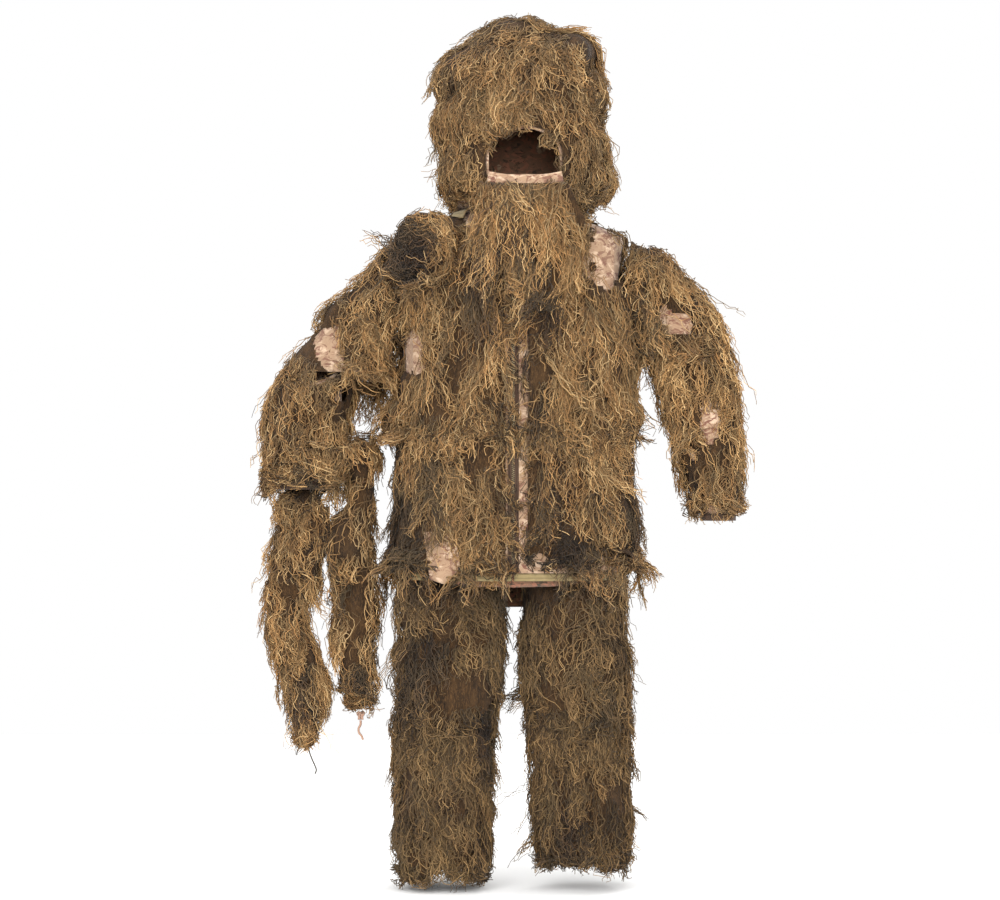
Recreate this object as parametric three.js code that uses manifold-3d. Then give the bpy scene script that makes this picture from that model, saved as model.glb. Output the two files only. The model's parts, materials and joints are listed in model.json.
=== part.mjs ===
// Ghillie suit: hooded jacket, face veil, trousers and rifle wrap, in millimetres.
// +Z is up, the front faces -Y and the wearer's left is at +X. The origin is the middle of the neck seam.
import * as THREE from 'three';
import { mergeVertices } from 'three/addons/utils/BufferGeometryUtils.js';
import Module from 'manifold-3d';

const wasm = await Module();
wasm.setup();

// ---------- driving dimensions ----------
const GAP = 0.4; // left between pieces that touch
const CLOTH = 3; // thickness of a cloth shell
const PILE = 16; // thickness of a thread layer
const REACH = 2000; // longer than any piece, for cutters

const CHEST_HALF_WIDTH = 232; // cloth, without threads
const CHEST_HALF_DEPTH = 141;
const HEM_HALF_DEPTH = 161;
const NECK_HALF_WIDTH = 92;
const NECK_HALF_DEPTH = 84;
const NECK_TOP = 12;
const CHEST_TOP = -70; // where the front starts to run straight
const TIER_SPLIT = -466; // chest threads above, waist threads below
const JACKET_HEM = -745;
const HEM_BAND_HEIGHT = 16;
const ZIP_HALF_WIDTH = 11;
const PLACKET_EDGE = 30; // the placket covers the front from the zip tape to here
const ARMHOLE_X = CHEST_HALF_WIDTH + PILE + GAP; // plane where body and sleeve meet
const ARM_OUT = CHEST_HALF_WIDTH - 232; // the arms and the wrap, placed for a chest of 232, move with its width
const ARMHOLE_Z = -150;
const ARMHOLE_HALF_HEIGHT = 88;
const ARMHOLE_HALF_DEPTH = 62;

const SLIDER_TOP = -228;
const SLIDER_HEIGHT = 16;
const SLIDER_WIDTH = 10;
const SLIDER_DEPTH = 5;
const PULL_LENGTH = 34;
const PULL_WIDTH = 7;
const PULL_THICKNESS = 2.5;

const HOOD_X = 25; // the hood leans a little to the wearer's left
const HOOD_BOTTOM = 30;
const HOOD_TOP = 407;
const HOOD_HALF_WIDTH = 172;
const HOOD_HALF_DEPTH = 168;
const FRINGE_BOTTOM = -10; // lowest threads at the sides of the veil
const WINDOW_X = 23;
const WINDOW_HALF_WIDTH = 73;
const WINDOW_BOTTOM = 78;
const WINDOW_SPRING = 122; // the arch starts here
const WINDOW_TOP = 172;
const BINDING = 6;

const VEIL_TOP = 81;
const VEIL_BAND_HEIGHT = 24;
const VEIL_TIP = -215;
const VEIL_THICKNESS = 16;

const KNUCKLE_GAP = 0.25; // running gap of a bend in a limb
const KNUCKLE_STEPS = 32; // faces round a bend
const ELBOW_RADIUS = 80;
const ELBOW_RIGHT_Z = -400;
const ELBOW_LEFT_Z = -350;
const CUFF_RIGHT_Z = -574;
const CUFF_LEFT_Z = -640;
const CUFF_HEIGHT = 14;

const HIP_Z = -830;
const HIP_RADIUS = 112;
const KNEE_Z = -1110;
const KNEE_RADIUS = 105;
const WAIST_TOP = -662;
const WAISTBAND_HEIGHT = 40;
const LEG_HEM_RIGHT = -1393;
const LEG_HEM_LEFT = -1366;
const ANKLE_HEM_HEIGHT = 20;
const HEM_SHOW = 24; // the threads hang this far below the cloth of the leg

const OUTER_TAIL_ROUND = 45;
const OUTER_TAIL_PIVOT = CUFF_RIGHT_Z - OUTER_TAIL_ROUND - GAP;
const INNER_TAIL_PIVOT = -502;
const INNER_TAIL_ROUND = 38;
const WRAP_EDGE_X = -340; // the wrap's sleeve ends here and the inner tail starts
const DRAWCORD_DIAMETER = 3;
const TIE_CORD_DIAMETER = 5;

// ---------- materials ----------
const cloth = (color) => new THREE.MeshStandardMaterial({ color, roughness: 0.9, metalness: 0 });
const CAMO = '#af917a';
const THREAD_TAN = '#a98752';
const THREAD_BROWN = '#7a5c38';
const LINING_BROWN = '#4a3a2c';
const WEBBING_OLIVE = '#7b6b45';
const CORD_DARK = '#2b2622';
const CORD_PINK = '#b08a72';
const METAL = new THREE.MeshStandardMaterial({ color: '#6d6250', roughness: 0.45, metalness: 0.9 });

// ---------- geometry helpers ----------
function solidFrom(positions, faces) {
  let volume = 0;
  const at = (i) => positions[i];
  for (const [a, b, c] of faces) {
    const [p, q, r] = [at(a), at(b), at(c)];
    volume += p[0] * (q[1] * r[2] - q[2] * r[1]) - p[1] * (q[0] * r[2] - q[2] * r[0]) + p[2] * (q[0] * r[1] - q[1] * r[0]);
  }
  const outwards = volume < 0 ? turned(faces) : faces;
  return new wasm.Manifold(new wasm.Mesh({
    numProp: 3,
    vertProperties: new Float32Array(positions.flat()),
    triVerts: new Uint32Array(outwards.flat()),
  }));
}

function solidFromGeometry(source) {
  const bare = source.clone();
  bare.deleteAttribute('normal');
  bare.deleteAttribute('uv');
  const joined = mergeVertices(bare, 1e-4);
  const place = joined.getAttribute('position');
  const index = joined.getIndex();
  const positions = [];
  for (let i = 0; i < place.count; i += 1) positions.push([place.getX(i), place.getY(i), place.getZ(i)]);
  const faces = [];
  for (let i = 0; i < index.count; i += 3) faces.push([index.getX(i), index.getX(i + 1), index.getX(i + 2)]);
  return solidFrom(positions, faces);
}

// A ring is a rounded section: centre x, y, z, half width across, half depth along Y, and the tilt of its width
// from +X (0) towards +Z (90). side -1 mirrors it in X.
function ringPoints(ring, inset, segments) {
  const { x, y = 0, z, width, depth, tilt = 0, power = 2.4, side = 1 } = ring;
  const lean = THREE.MathUtils.degToRad(tilt);
  const points = [];
  for (let i = 0; i < segments; i += 1) {
    const turn = (2 * Math.PI * i) / segments;
    const across = Math.sign(Math.cos(turn)) * Math.abs(Math.cos(turn)) ** (2 / power) * (width - inset);
    const along = Math.sign(Math.sin(turn)) * Math.abs(Math.sin(turn)) ** (2 / power) * (depth - inset);
    points.push([side * (x + across * Math.cos(lean)), y + along, z + across * Math.sin(lean)]);
  }
  return points;
}

// Faces of the band between two loops of points; the diagonal always runs the same way, so nested skins stay nested.
function band(low, high, segments) {
  const faces = [];
  for (let i = 0; i < segments; i += 1) {
    const j = (i + 1) % segments;
    faces.push([low + i, low + j, high + j], [low + i, high + j, high + i]);
  }
  return faces;
}
const turned = (faces) => faces.map(([a, b, c]) => [a, c, b]);

function loft(rings, inset = 0, segments = 16) {
  const loops = rings.map((ring) => ringPoints(ring, inset, segments));
  const positions = loops.flat();
  const faces = [];
  for (let k = 0; k + 1 < loops.length; k += 1) faces.push(...band(k * segments, (k + 1) * segments, segments));
  for (const k of [0, loops.length - 1]) {
    positions.push([0, 1, 2].map((axis) => loops[k].reduce((sum, p) => sum + p[axis], 0) / segments));
    const hub = positions.length - 1;
    for (let i = 0; i < segments; i += 1) {
      const rim = [k * segments + i, k * segments + ((i + 1) % segments)];
      faces.push(k === 0 ? [hub, rim[1], rim[0]] : [hub, rim[0], rim[1]]);
    }
  }
  return solidFrom(positions, faces);
}

function tube(rings, inset, wall, segments = 16) {
  const outer = rings.map((ring) => ringPoints(ring, inset, segments));
  const inner = rings.map((ring) => ringPoints(ring, inset + wall, segments));
  const last = (rings.length - 1) * segments;
  const inside = rings.length * segments;
  const faces = [];
  for (let k = 0; k < last; k += segments) {
    faces.push(...band(k, k + segments, segments), ...turned(band(inside + k, inside + k + segments, segments)));
  }
  faces.push(...turned(band(0, inside, segments)), ...band(last, inside + last, segments));
  return solidFrom([...outer, ...inner].flat(), faces);
}

function box(x0, x1, y0, y1, z0, z1) {
  const shape = new THREE.BoxGeometry(x1 - x0, y1 - y0, z1 - z0);
  shape.translate((x0 + x1) / 2, (y0 + y1) / 2, (z0 + z1) / 2);
  return solidFromGeometry(shape);
}

function prism(points, from, to, basis) {
  const outline = new THREE.Shape(points.map(([u, v]) => new THREE.Vector2(u, v)));
  const shape = new THREE.ExtrudeGeometry(outline, { depth: to - from, bevelEnabled: false, steps: 1 });
  shape.translate(0, 0, from);
  shape.applyMatrix4(new THREE.Matrix4().makeBasis(...basis));
  return solidFromGeometry(shape);
}
const X = new THREE.Vector3(1, 0, 0);
const Y = new THREE.Vector3(0, 1, 0);
const Z = new THREE.Vector3(0, 0, 1);
const prismX = (points, from = -REACH, to = REACH) => prism(points, from, to, [Y, Z, X]); // points are y, z
const prismY = (points, from = -REACH, to = REACH) => prism(points, from, to, [X, Z, Y]); // points are x, z

function arc(cx, cy, rx, ry, start, end, steps) {
  const points = [];
  for (let i = 0; i <= steps; i += 1) {
    const turn = THREE.MathUtils.degToRad(start + ((end - start) * i) / steps);
    points.push([cx + rx * Math.cos(turn), cy + ry * Math.sin(turn)]);
  }
  return points;
}
const roundX = (y, z, ry, rz = ry, steps = 24) => prismX(arc(y, z, ry, rz, 0, 360 - 360 / steps, steps - 1));

// The space that a limb of half depth radius sweeps as it turns about an X axis at height z, from back to front degrees.
function sweepRoom(z, radius, back, front) {
  const steps = KNUCKLE_STEPS;
  const room = (radius + KNUCKLE_GAP) / Math.cos(Math.PI / steps);
  const down = (deg) => [-Math.sin(THREE.MathUtils.degToRad(deg)), -Math.cos(THREE.MathUtils.degToRad(deg))];
  const corner = (deg, sign) => {
    const turn = THREE.MathUtils.degToRad(deg);
    return [-sign * Math.cos(turn) * room, sign * Math.sin(turn) * room];
  };
  const far = (from, deg) => from.map((value, i) => value + down(deg)[i] * REACH);
  const outline = [corner(front, 1), far(corner(front, 1), front)];
  for (let deg = front - 20; deg > back + 10; deg -= 20) outline.push(far(far([0, 0], deg), deg));
  outline.push(far(corner(back, -1), back), corner(back, -1));
  return prismX(outline.map(([y, dz]) => [y, z + dz])).add(roundX(0, z, room, room, steps));
}

// What a limb keeps above its pivot: a round knuckle that turns inside the room above.
const knuckle = (z, radius) => roundX(0, z, radius, radius, KNUCKLE_STEPS).add(box(-REACH, REACH, -REACH, REACH, z - REACH, z));

const group = new THREE.Group();
group.name = 'ghillie_suit';
function add(name, solid, material) {
  const made = solid.getMesh();
  const geometry = new THREE.BufferGeometry();
  geometry.setAttribute('position', new THREE.BufferAttribute(new Float32Array(made.vertProperties), 3));
  geometry.setIndex(new THREE.BufferAttribute(new Uint32Array(made.triVerts), 1));
  geometry.computeVertexNormals();
  const mesh = new THREE.Mesh(geometry, material);
  mesh.name = name;
  group.add(mesh);
}

// ---------- jacket body ----------
const BODY_POWER = 2.8;
const frontDepthAt = (z) => CHEST_HALF_DEPTH
  + ((HEM_HALF_DEPTH - CHEST_HALF_DEPTH) * (CHEST_TOP - z)) / (CHEST_TOP - JACKET_HEM);
const bodyRing = (z, width, depth) => ({ x: 0, z, width, depth, power: BODY_POWER });
const bodyRings = [
  bodyRing(NECK_TOP, NECK_HALF_WIDTH, NECK_HALF_DEPTH),
  bodyRing(-12, 165, 108),
  bodyRing(-42, CHEST_HALF_WIDTH, 132),
  bodyRing(CHEST_TOP, CHEST_HALF_WIDTH, CHEST_HALF_DEPTH),
  bodyRing(-250, CHEST_HALF_WIDTH, frontDepthAt(-250)),
  bodyRing(-400, CHEST_HALF_WIDTH - 6, frontDepthAt(-400)),
  bodyRing(JACKET_HEM, CHEST_HALF_WIDTH, HEM_HALF_DEPTH),
];
const BODY_SEGMENTS = 24;
const armholes = roundX(0, ARMHOLE_Z, ARMHOLE_HALF_DEPTH, ARMHOLE_HALF_HEIGHT, 24)
  .subtract(box(-150, 150, -REACH, REACH, -REACH, REACH));
const bodyCloth = tube(bodyRings, 0, CLOTH, BODY_SEGMENTS).subtract(armholes);
const bodyThreads = tube(bodyRings, -PILE - GAP, PILE, BODY_SEGMENTS).subtract(armholes);
const bodySolid = loft(bodyRings, -PILE - 2 * GAP, BODY_SEGMENTS);
const frontHalf = (x0, x1, z0 = -REACH, z1 = REACH) => box(x0, x1, -REACH, -GAP / 2, z0, z1);
const backHalf = (z0 = -REACH, z1 = REACH) => box(-REACH, REACH, GAP / 2, REACH, z0, z1);

add('jacket_front_right', bodyCloth.intersect(frontHalf(-REACH, -ZIP_HALF_WIDTH - GAP)), cloth(CAMO));
add('jacket_front_left', bodyCloth.intersect(frontHalf(ZIP_HALF_WIDTH + GAP, REACH)), cloth(CAMO));
add('jacket_back', bodyCloth.intersect(backHalf()), cloth(CAMO));
add('zip_tape_right', bodyCloth.intersect(frontHalf(-ZIP_HALF_WIDTH, -GAP / 2)), cloth(WEBBING_OLIVE));
add('zip_tape_left', bodyCloth.intersect(frontHalf(GAP / 2, ZIP_HALF_WIDTH)), cloth(WEBBING_OLIVE));
const THREAD_EDGE = 15; // the threads stop this far from the zip
const placketShell = tube(bodyRings, -CLOTH - GAP, CLOTH, BODY_SEGMENTS);
add('placket', placketShell.intersect(frontHalf(ZIP_HALF_WIDTH + 1, PLACKET_EDGE, -REACH, SLIDER_TOP)), cloth(CAMO));

const tiers = { chest: [TIER_SPLIT + GAP / 2, REACH], waist: [-REACH, TIER_SPLIT - GAP / 2] };
for (const [tier, [z0, z1]] of Object.entries(tiers)) {
  const material = () => cloth(tier === 'chest' ? THREAD_TAN : THREAD_BROWN);
  add(`${tier}_threads_right`, bodyThreads.intersect(frontHalf(-REACH, -THREAD_EDGE, z0, z1)), material());
  add(`${tier}_threads_left`, bodyThreads.intersect(frontHalf(PLACKET_EDGE + 1, REACH, z0, z1)), material());
}
add('back_threads_upper', bodyThreads.intersect(backHalf(...tiers.chest)), cloth(THREAD_TAN));
add('back_threads_lower', bodyThreads.intersect(backHalf(...tiers.waist)), cloth(THREAD_BROWN));

const hemRing = (z) => bodyRing(z, CHEST_HALF_WIDTH, HEM_HALF_DEPTH);
const hemTop = JACKET_HEM - GAP;
add('hem_band', tube([hemRing(hemTop), hemRing(hemTop - HEM_BAND_HEIGHT)], 0, CLOTH, BODY_SEGMENTS)
  .subtract(frontHalf(-2, 2)), cloth(WEBBING_OLIVE));

const collarRings = [
  bodyRing(NECK_TOP + GAP, NECK_HALF_WIDTH, NECK_HALF_DEPTH),
  { x: HOOD_X / 2, z: 18, width: 128, depth: 116 },
  { x: HOOD_X, z: HOOD_BOTTOM - GAP, width: HOOD_HALF_WIDTH - 22, depth: HOOD_HALF_DEPTH - 26 },
];
const collar = tube(collarRings, 0, CLOTH + 1, 24);
add('collar', collar, cloth(CAMO));

const tuftRings = [
  { x: 0, z: 0, width: 20, depth: 26 },
  { x: 0, z: 14, width: 50, depth: 70 },
  { x: 0, z: 34, width: 58, depth: 82 },
  { x: 0, z: 110, width: 52, depth: 74 },
];
const TUFT_FRONT = -196;
const tuft = loft(tuftRings, 0, 14).rotate([-90, 0, 0]).translate([-182, TUFT_FRONT, -76]);
add('shoulder_tuft', tuft.subtract(bodySolid).subtract(box(-REACH, REACH, -110, REACH, -REACH, REACH)),
  cloth(THREAD_BROWN));

const strapOutline = [[-128, -4], [-104, -10], [-92, 18], [-116, 26]];
const strap = prismY(strapOutline, -150, -60).subtract(bodySolid)
  .subtract(loft(collarRings, -GAP, 24));
const strapShell = loft(bodyRings, -PILE - 8, BODY_SEGMENTS);
add('neck_strap', strap.intersect(strapShell), cloth(WEBBING_OLIVE));

// ---------- zip slider and pull ----------
const sliderFace = -frontDepthAt(SLIDER_TOP) - GAP;
const sliderTilt = Math.atan2(HEM_HALF_DEPTH - CHEST_HALF_DEPTH, CHEST_TOP - JACKET_HEM);
const tilted = (solid) => solid.rotate([-THREE.MathUtils.radToDeg(sliderTilt), 0, 0])
  .translate([0, sliderFace, SLIDER_TOP]);
add('zip_slider', tilted(box(-SLIDER_WIDTH / 2, SLIDER_WIDTH / 2, -SLIDER_DEPTH, 0, -SLIDER_HEIGHT, 0)), METAL.clone());
const pullBack = -SLIDER_DEPTH - GAP;
add('zip_pull', tilted(box(-PULL_WIDTH / 2, PULL_WIDTH / 2, pullBack - PULL_THICKNESS, pullBack, -PULL_LENGTH, 0)
  .subtract(box(-1.8, 1.8, -50, 50, -PULL_LENGTH + 5, -12))), METAL.clone());

// ---------- pocket flap ----------
const FLAP_TOP = -660;
const flapOutline = [[-184, FLAP_TOP], [-118, FLAP_TOP], [-108, -735], [-140, -768], [-172, -758]];
const flapShell = loft(bodyRings.concat(bodyRing(-790, CHEST_HALF_WIDTH, HEM_HALF_DEPTH)), -PILE - CLOTH - 1, BODY_SEGMENTS)
  .subtract(loft(bodyRings.concat(bodyRing(-800, CHEST_HALF_WIDTH, HEM_HALF_DEPTH)), -PILE - 1, BODY_SEGMENTS));
add('pocket_flap', flapShell.intersect(prismY(flapOutline, -REACH, 0)), cloth(CAMO));

// ---------- hood ----------
// drop: how far a ring sinks for each millimetre that the skin is moved in
const hoodRing = (z, width, depth, drop = 0) => ({ x: HOOD_X, z, width, depth, drop, power: 2.3 });
const hoodRings = [
  hoodRing(HOOD_BOTTOM, HOOD_HALF_WIDTH - 12, HOOD_HALF_DEPTH - 16),
  hoodRing(58, HOOD_HALF_WIDTH - 2, HOOD_HALF_DEPTH),
  hoodRing(190, HOOD_HALF_WIDTH, HOOD_HALF_DEPTH),
  hoodRing(275, HOOD_HALF_WIDTH - 6, HOOD_HALF_DEPTH - 8),
  hoodRing(340, 142, 134, 0.4),
  hoodRing(385, 92, 86, 0.9),
  hoodRing(HOOD_TOP, 44, 40, 1.1),
];
const HOOD_SEGMENTS = 20;
const hoodSolid = (inset) => loft(hoodRings.map((ring) => ({ ...ring, z: ring.z - inset * ring.drop })), inset, HOOD_SEGMENTS);
const below = (inset) => hoodSolid(inset).add(loft([
  hoodRing(HOOD_BOTTOM - 40, HOOD_HALF_WIDTH - 12, HOOD_HALF_DEPTH - 16),
  hoodRing(HOOD_BOTTOM + 0.01, HOOD_HALF_WIDTH - 12, HOOD_HALF_DEPTH - 16)], inset, HOOD_SEGMENTS));
const hoodShell = (outer, inner) => hoodSolid(outer).subtract(below(inner));
const windowOutline = (grow) => [
  [WINDOW_X - WINDOW_HALF_WIDTH - grow, WINDOW_BOTTOM - grow],
  [WINDOW_X + WINDOW_HALF_WIDTH + grow, WINDOW_BOTTOM - grow],
  ...arc(WINDOW_X, WINDOW_SPRING, WINDOW_HALF_WIDTH + grow, WINDOW_TOP - WINDOW_SPRING + grow, 0, 180, 12),
];
const window = (grow) => prismY(windowOutline(grow), -REACH, 0);
const HOOD_CLOTH_INSET = PILE + GAP;
add('hood_threads', hoodShell(0, PILE).subtract(window(BINDING + GAP)), cloth(THREAD_TAN));
add('hood_shell', hoodShell(HOOD_CLOTH_INSET, HOOD_CLOTH_INSET + CLOTH).subtract(window(0)), cloth(CAMO));
const liningInset = HOOD_CLOTH_INSET + CLOTH + GAP;
add('hood_lining', hoodShell(liningInset, liningInset + CLOTH)
  .intersect(box(-REACH, REACH, 10, REACH, HOOD_BOTTOM + 10, 330)), cloth(LINING_BROWN));
add('hood_edge_binding', hoodShell(HOOD_CLOTH_INSET - CLOTH - GAP, HOOD_CLOTH_INSET - GAP)
  .intersect(window(BINDING).subtract(window(0))), cloth(CAMO));
const FRINGE_PILE = 9;
const fringeShell = tube([
  hoodRing(HOOD_BOTTOM - GAP, HOOD_HALF_WIDTH - 12, HOOD_HALF_DEPTH - 16),
  hoodRing(FRINGE_BOTTOM, HOOD_HALF_WIDTH - 8, HOOD_HALF_DEPTH - 14)], 0, FRINGE_PILE, HOOD_SEGMENTS);
const collarTop = collarRings[collarRings.length - 1];
const collarRise = loft([{ ...collarTop, z: -60 }, { ...collarTop, z: HOOD_BOTTOM + 1 }], -2 * GAP, 24); // the hood lifts past it
const fringe = (outline) => fringeShell.subtract(bodySolid).subtract(collarRise)
  .intersect(prismY(outline, -REACH, -70));
add('hood_fringe_right', fringe([[-104, 40], [-52, 40], [-58, 2], [-70, FRINGE_BOTTOM + 2], [-98, 8]]), cloth(THREAD_TAN));
add('hood_fringe_left', fringe([[104, 40], [160, 40], [152, 10], [126, FRINGE_BOTTOM + 2], [110, 4]]), cloth(THREAD_TAN));

// ---------- face veil ----------
const veilBack = -HOOD_HALF_DEPTH - 2 * GAP;
const veilFront = veilBack - VEIL_THICKNESS;
const bandBottom = VEIL_TOP - VEIL_BAND_HEIGHT;
add('veil_band', prismY([[-50, VEIL_TOP], [100, VEIL_TOP], [104, bandBottom + GAP], [-54, bandBottom + GAP]],
  veilBack - CLOTH - 1, veilBack), cloth(CAMO));
add('veil_threads', prismY([[-60, bandBottom], [112, bandBottom], [150, -20], [128, -110], [84, -170], [56, VEIL_TIP],
  [20, -150], [-40, -120], [-79, -30]], veilFront, veilBack), cloth(THREAD_TAN));

// ---------- sleeves ----------
const sleeves = {
  right: {
    side: -1, elbow: ELBOW_RIGHT_Z, cuff: CUFF_RIGHT_Z,
    upper: [
      { x: ARMHOLE_X, z: ARMHOLE_Z, width: 105, depth: 79, tilt: 90 },
      { x: 310, z: -272, width: 122, depth: 79, tilt: 70 },
      { x: 380, z: -345, width: 112, depth: 79, tilt: 55 },
      { x: 424, z: -400, width: 92, depth: 79, tilt: 24 },
      { x: 430, z: -450, width: 86, depth: 79, tilt: 0 },
    ],
    lower: [
      { x: 414, z: -318, width: 66, depth: 79 },
      { x: 430, z: -400, width: 84, depth: 79 },
      { x: 440, z: -480, width: 76, depth: 72 },
      { x: 451, z: CUFF_RIGHT_Z + CUFF_HEIGHT + GAP, width: 66, depth: 64 },
    ],
  },
  left: {
    side: 1, elbow: ELBOW_LEFT_Z, cuff: CUFF_LEFT_Z,
    upper: [
      { x: ARMHOLE_X, z: ARMHOLE_Z, width: 105, depth: 79, tilt: 90 },
      { x: 304, z: -190, width: 98, depth: 79, tilt: 62 },
      { x: 352, z: -252, width: 88, depth: 79, tilt: 34 },
      { x: 386, z: -340, width: 86, depth: 79, tilt: 10 },
      { x: 390, z: -400, width: 80, depth: 79, tilt: 0 },
    ],
    lower: [
      { x: 374, z: -268, width: 76, depth: 79 },
      { x: 388, z: -350, width: 86, depth: 79 },
      { x: 410, z: -470, width: 70, depth: 72 },
      { x: 434, z: CUFF_LEFT_Z + CUFF_HEIGHT + GAP, width: 50, depth: 54 },
    ],
  },
};
for (const arm of Object.values(sleeves)) {
  for (const ring of [...arm.upper.slice(1), ...arm.lower]) ring.x += ARM_OUT;
}
const ELBOW_FLEX = 82; // a little more than the joint allows
const outward = (side) => (side > 0
  ? box(ARMHOLE_X + GAP, REACH, -REACH, REACH, -REACH, REACH)
  : box(-REACH, -ARMHOLE_X - GAP, -REACH, REACH, -REACH, REACH));
for (const [name, arm] of Object.entries(sleeves)) {
  const sided = (rings) => rings.map((ring) => ({ ...ring, side: arm.side }));
  const keepUpper = (solid) => solid.subtract(sweepRoom(arm.elbow, ELBOW_RADIUS, 0, ELBOW_FLEX)).intersect(outward(arm.side));
  const keepLower = (solid) => solid.intersect(knuckle(arm.elbow, ELBOW_RADIUS));
  add(`upper_sleeve_${name}`, keepUpper(tube(sided(arm.upper), PILE + GAP, CLOTH)), cloth(CAMO));
  add(`upper_sleeve_threads_${name}`, keepUpper(tube(sided(arm.upper), 0, PILE)), cloth(THREAD_TAN));
  add(`forearm_${name}`, keepLower(tube(sided(arm.lower), PILE + GAP, CLOTH)), cloth(CAMO));
  add(`forearm_threads_${name}`, keepLower(tube(sided(arm.lower), 0, PILE)), cloth(THREAD_TAN));
  const wrist = arm.lower[arm.lower.length - 1];
  const cuffRing = (z) => ({ ...wrist, z, side: arm.side });
  add(`cuff_${name}`, tube([cuffRing(arm.cuff + CUFF_HEIGHT), cuffRing(arm.cuff)], PILE - 4, CLOTH + 5), cloth(LINING_BROWN));
}
const TOGGLE_RADIUS = 6;
const TOGGLE_LENGTH = 26;
const ringTop = ({ x, z, width, tilt }) => new THREE.Vector2(
  -x - width * Math.cos(THREE.MathUtils.degToRad(tilt)), z + width * Math.sin(THREE.MathUtils.degToRad(tilt)));
const [seatHigh, seatLow] = sleeves.right.upper.slice(1, 3).map(ringTop);
const along = seatLow.clone().sub(seatHigh).normalize();
const seat = seatHigh.clone().lerp(seatLow, 0.35)
  .add(new THREE.Vector2(along.y, -along.x).multiplyScalar(TOGGLE_RADIUS + GAP));
const toggle = new THREE.CylinderGeometry(TOGGLE_RADIUS, TOGGLE_RADIUS, TOGGLE_LENGTH, 12);
toggle.rotateY(Math.PI / 12);
toggle.translate(seat.x, 0, seat.y);
add('sleeve_toggle', solidFromGeometry(toggle), cloth(CORD_DARK));

// ---------- trousers ----------
const seatRing = (z, width, depth) => ({ x: 0, z, width, depth, power: BODY_POWER });
const waistBottom = WAIST_TOP - WAISTBAND_HEIGHT;
add('waistband', tube(bodyRings, CLOTH + GAP, CLOTH + 1, BODY_SEGMENTS)
  .intersect(box(-REACH, REACH, -REACH, REACH, waistBottom, WAIST_TOP)), cloth(WEBBING_OLIVE));
const seatWidth = CHEST_HALF_WIDTH - CLOTH - 6;
const seatDepth = frontDepthAt(waistBottom) - CLOTH - 2;
const HIP_BACK = -15;
const HIP_FRONT = 62;
add('trouser_seat', tube([seatRing(waistBottom - GAP, seatWidth, seatDepth), seatRing(HIP_Z, 202, HIP_RADIUS + 12)], 0, CLOTH, BODY_SEGMENTS)
  .subtract(sweepRoom(HIP_Z, HIP_RADIUS, HIP_BACK - 2, HIP_FRONT)), cloth(CAMO));

const legs = {
  right: {
    side: -1, hem: LEG_HEM_RIGHT,
    thigh: [
      { x: 114, z: HIP_Z + HIP_RADIUS, width: 92, depth: 111 },
      { x: 114, z: -892, width: 93, depth: 111 },
      { x: 132, z: -930, width: 111, depth: 110 },
      { x: 146, z: -1220, width: 100, depth: 104 },
    ],
    shin: [
      { x: 142, z: KNEE_Z + KNEE_RADIUS, width: 103, depth: 104 },
      { x: 147, z: KNEE_Z, width: 99, depth: 104 },
      { x: 147, z: -1260, width: 98, depth: 100 },
      { x: 146, z: LEG_HEM_RIGHT, width: 92, depth: 92 },
    ],
  },
  left: {
    side: 1, hem: LEG_HEM_LEFT,
    thigh: [
      { x: 114, z: HIP_Z + HIP_RADIUS, width: 92, depth: 111 },
      { x: 114, z: -892, width: 93, depth: 111 },
      { x: 130, z: -930, width: 116, depth: 110 },
      { x: 144, z: -1220, width: 102, depth: 104 },
    ],
    shin: [
      { x: 138, z: KNEE_Z + KNEE_RADIUS, width: 106, depth: 104 },
      { x: 144, z: KNEE_Z, width: 102, depth: 104 },
      { x: 148, z: -1260, width: 98, depth: 100 },
      { x: 150, z: LEG_HEM_LEFT, width: 92, depth: 92 },
    ],
  },
};
const KNEE_FLEX = -92;
for (const [name, leg] of Object.entries(legs)) {
  const sided = (rings) => rings.map((ring) => ({ ...ring, side: leg.side }));
  const keepThigh = (solid) => solid.intersect(knuckle(HIP_Z, HIP_RADIUS))
    .subtract(sweepRoom(KNEE_Z, KNEE_RADIUS, KNEE_FLEX, 0));
  const hemTopZ = leg.hem + HEM_SHOW + ANKLE_HEM_HEIGHT;
  const above = box(-REACH, REACH, -REACH, REACH, hemTopZ + GAP, REACH);
  const hemSlab = box(-REACH, REACH, -REACH, REACH, leg.hem + HEM_SHOW, hemTopZ);
  add(`thigh_${name}`, keepThigh(tube(sided(leg.thigh), PILE + GAP, CLOTH)), cloth(CAMO));
  add(`thigh_threads_${name}`, keepThigh(tube(sided(leg.thigh), 0, PILE)), cloth(THREAD_BROWN));
  const keepShin = (solid) => solid.intersect(knuckle(KNEE_Z, KNEE_RADIUS));
  add(`shin_threads_${name}`, keepShin(tube(sided(leg.shin), 0, PILE)), cloth(THREAD_BROWN));
  add(`shin_${name}`, keepShin(tube(sided(leg.shin), PILE + GAP, CLOTH)).intersect(above), cloth(CAMO));
  add(`ankle_hem_${name}`, tube(sided(leg.shin), PILE + GAP, CLOTH + 1).intersect(hemSlab), cloth(LINING_BROWN));
}

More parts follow.
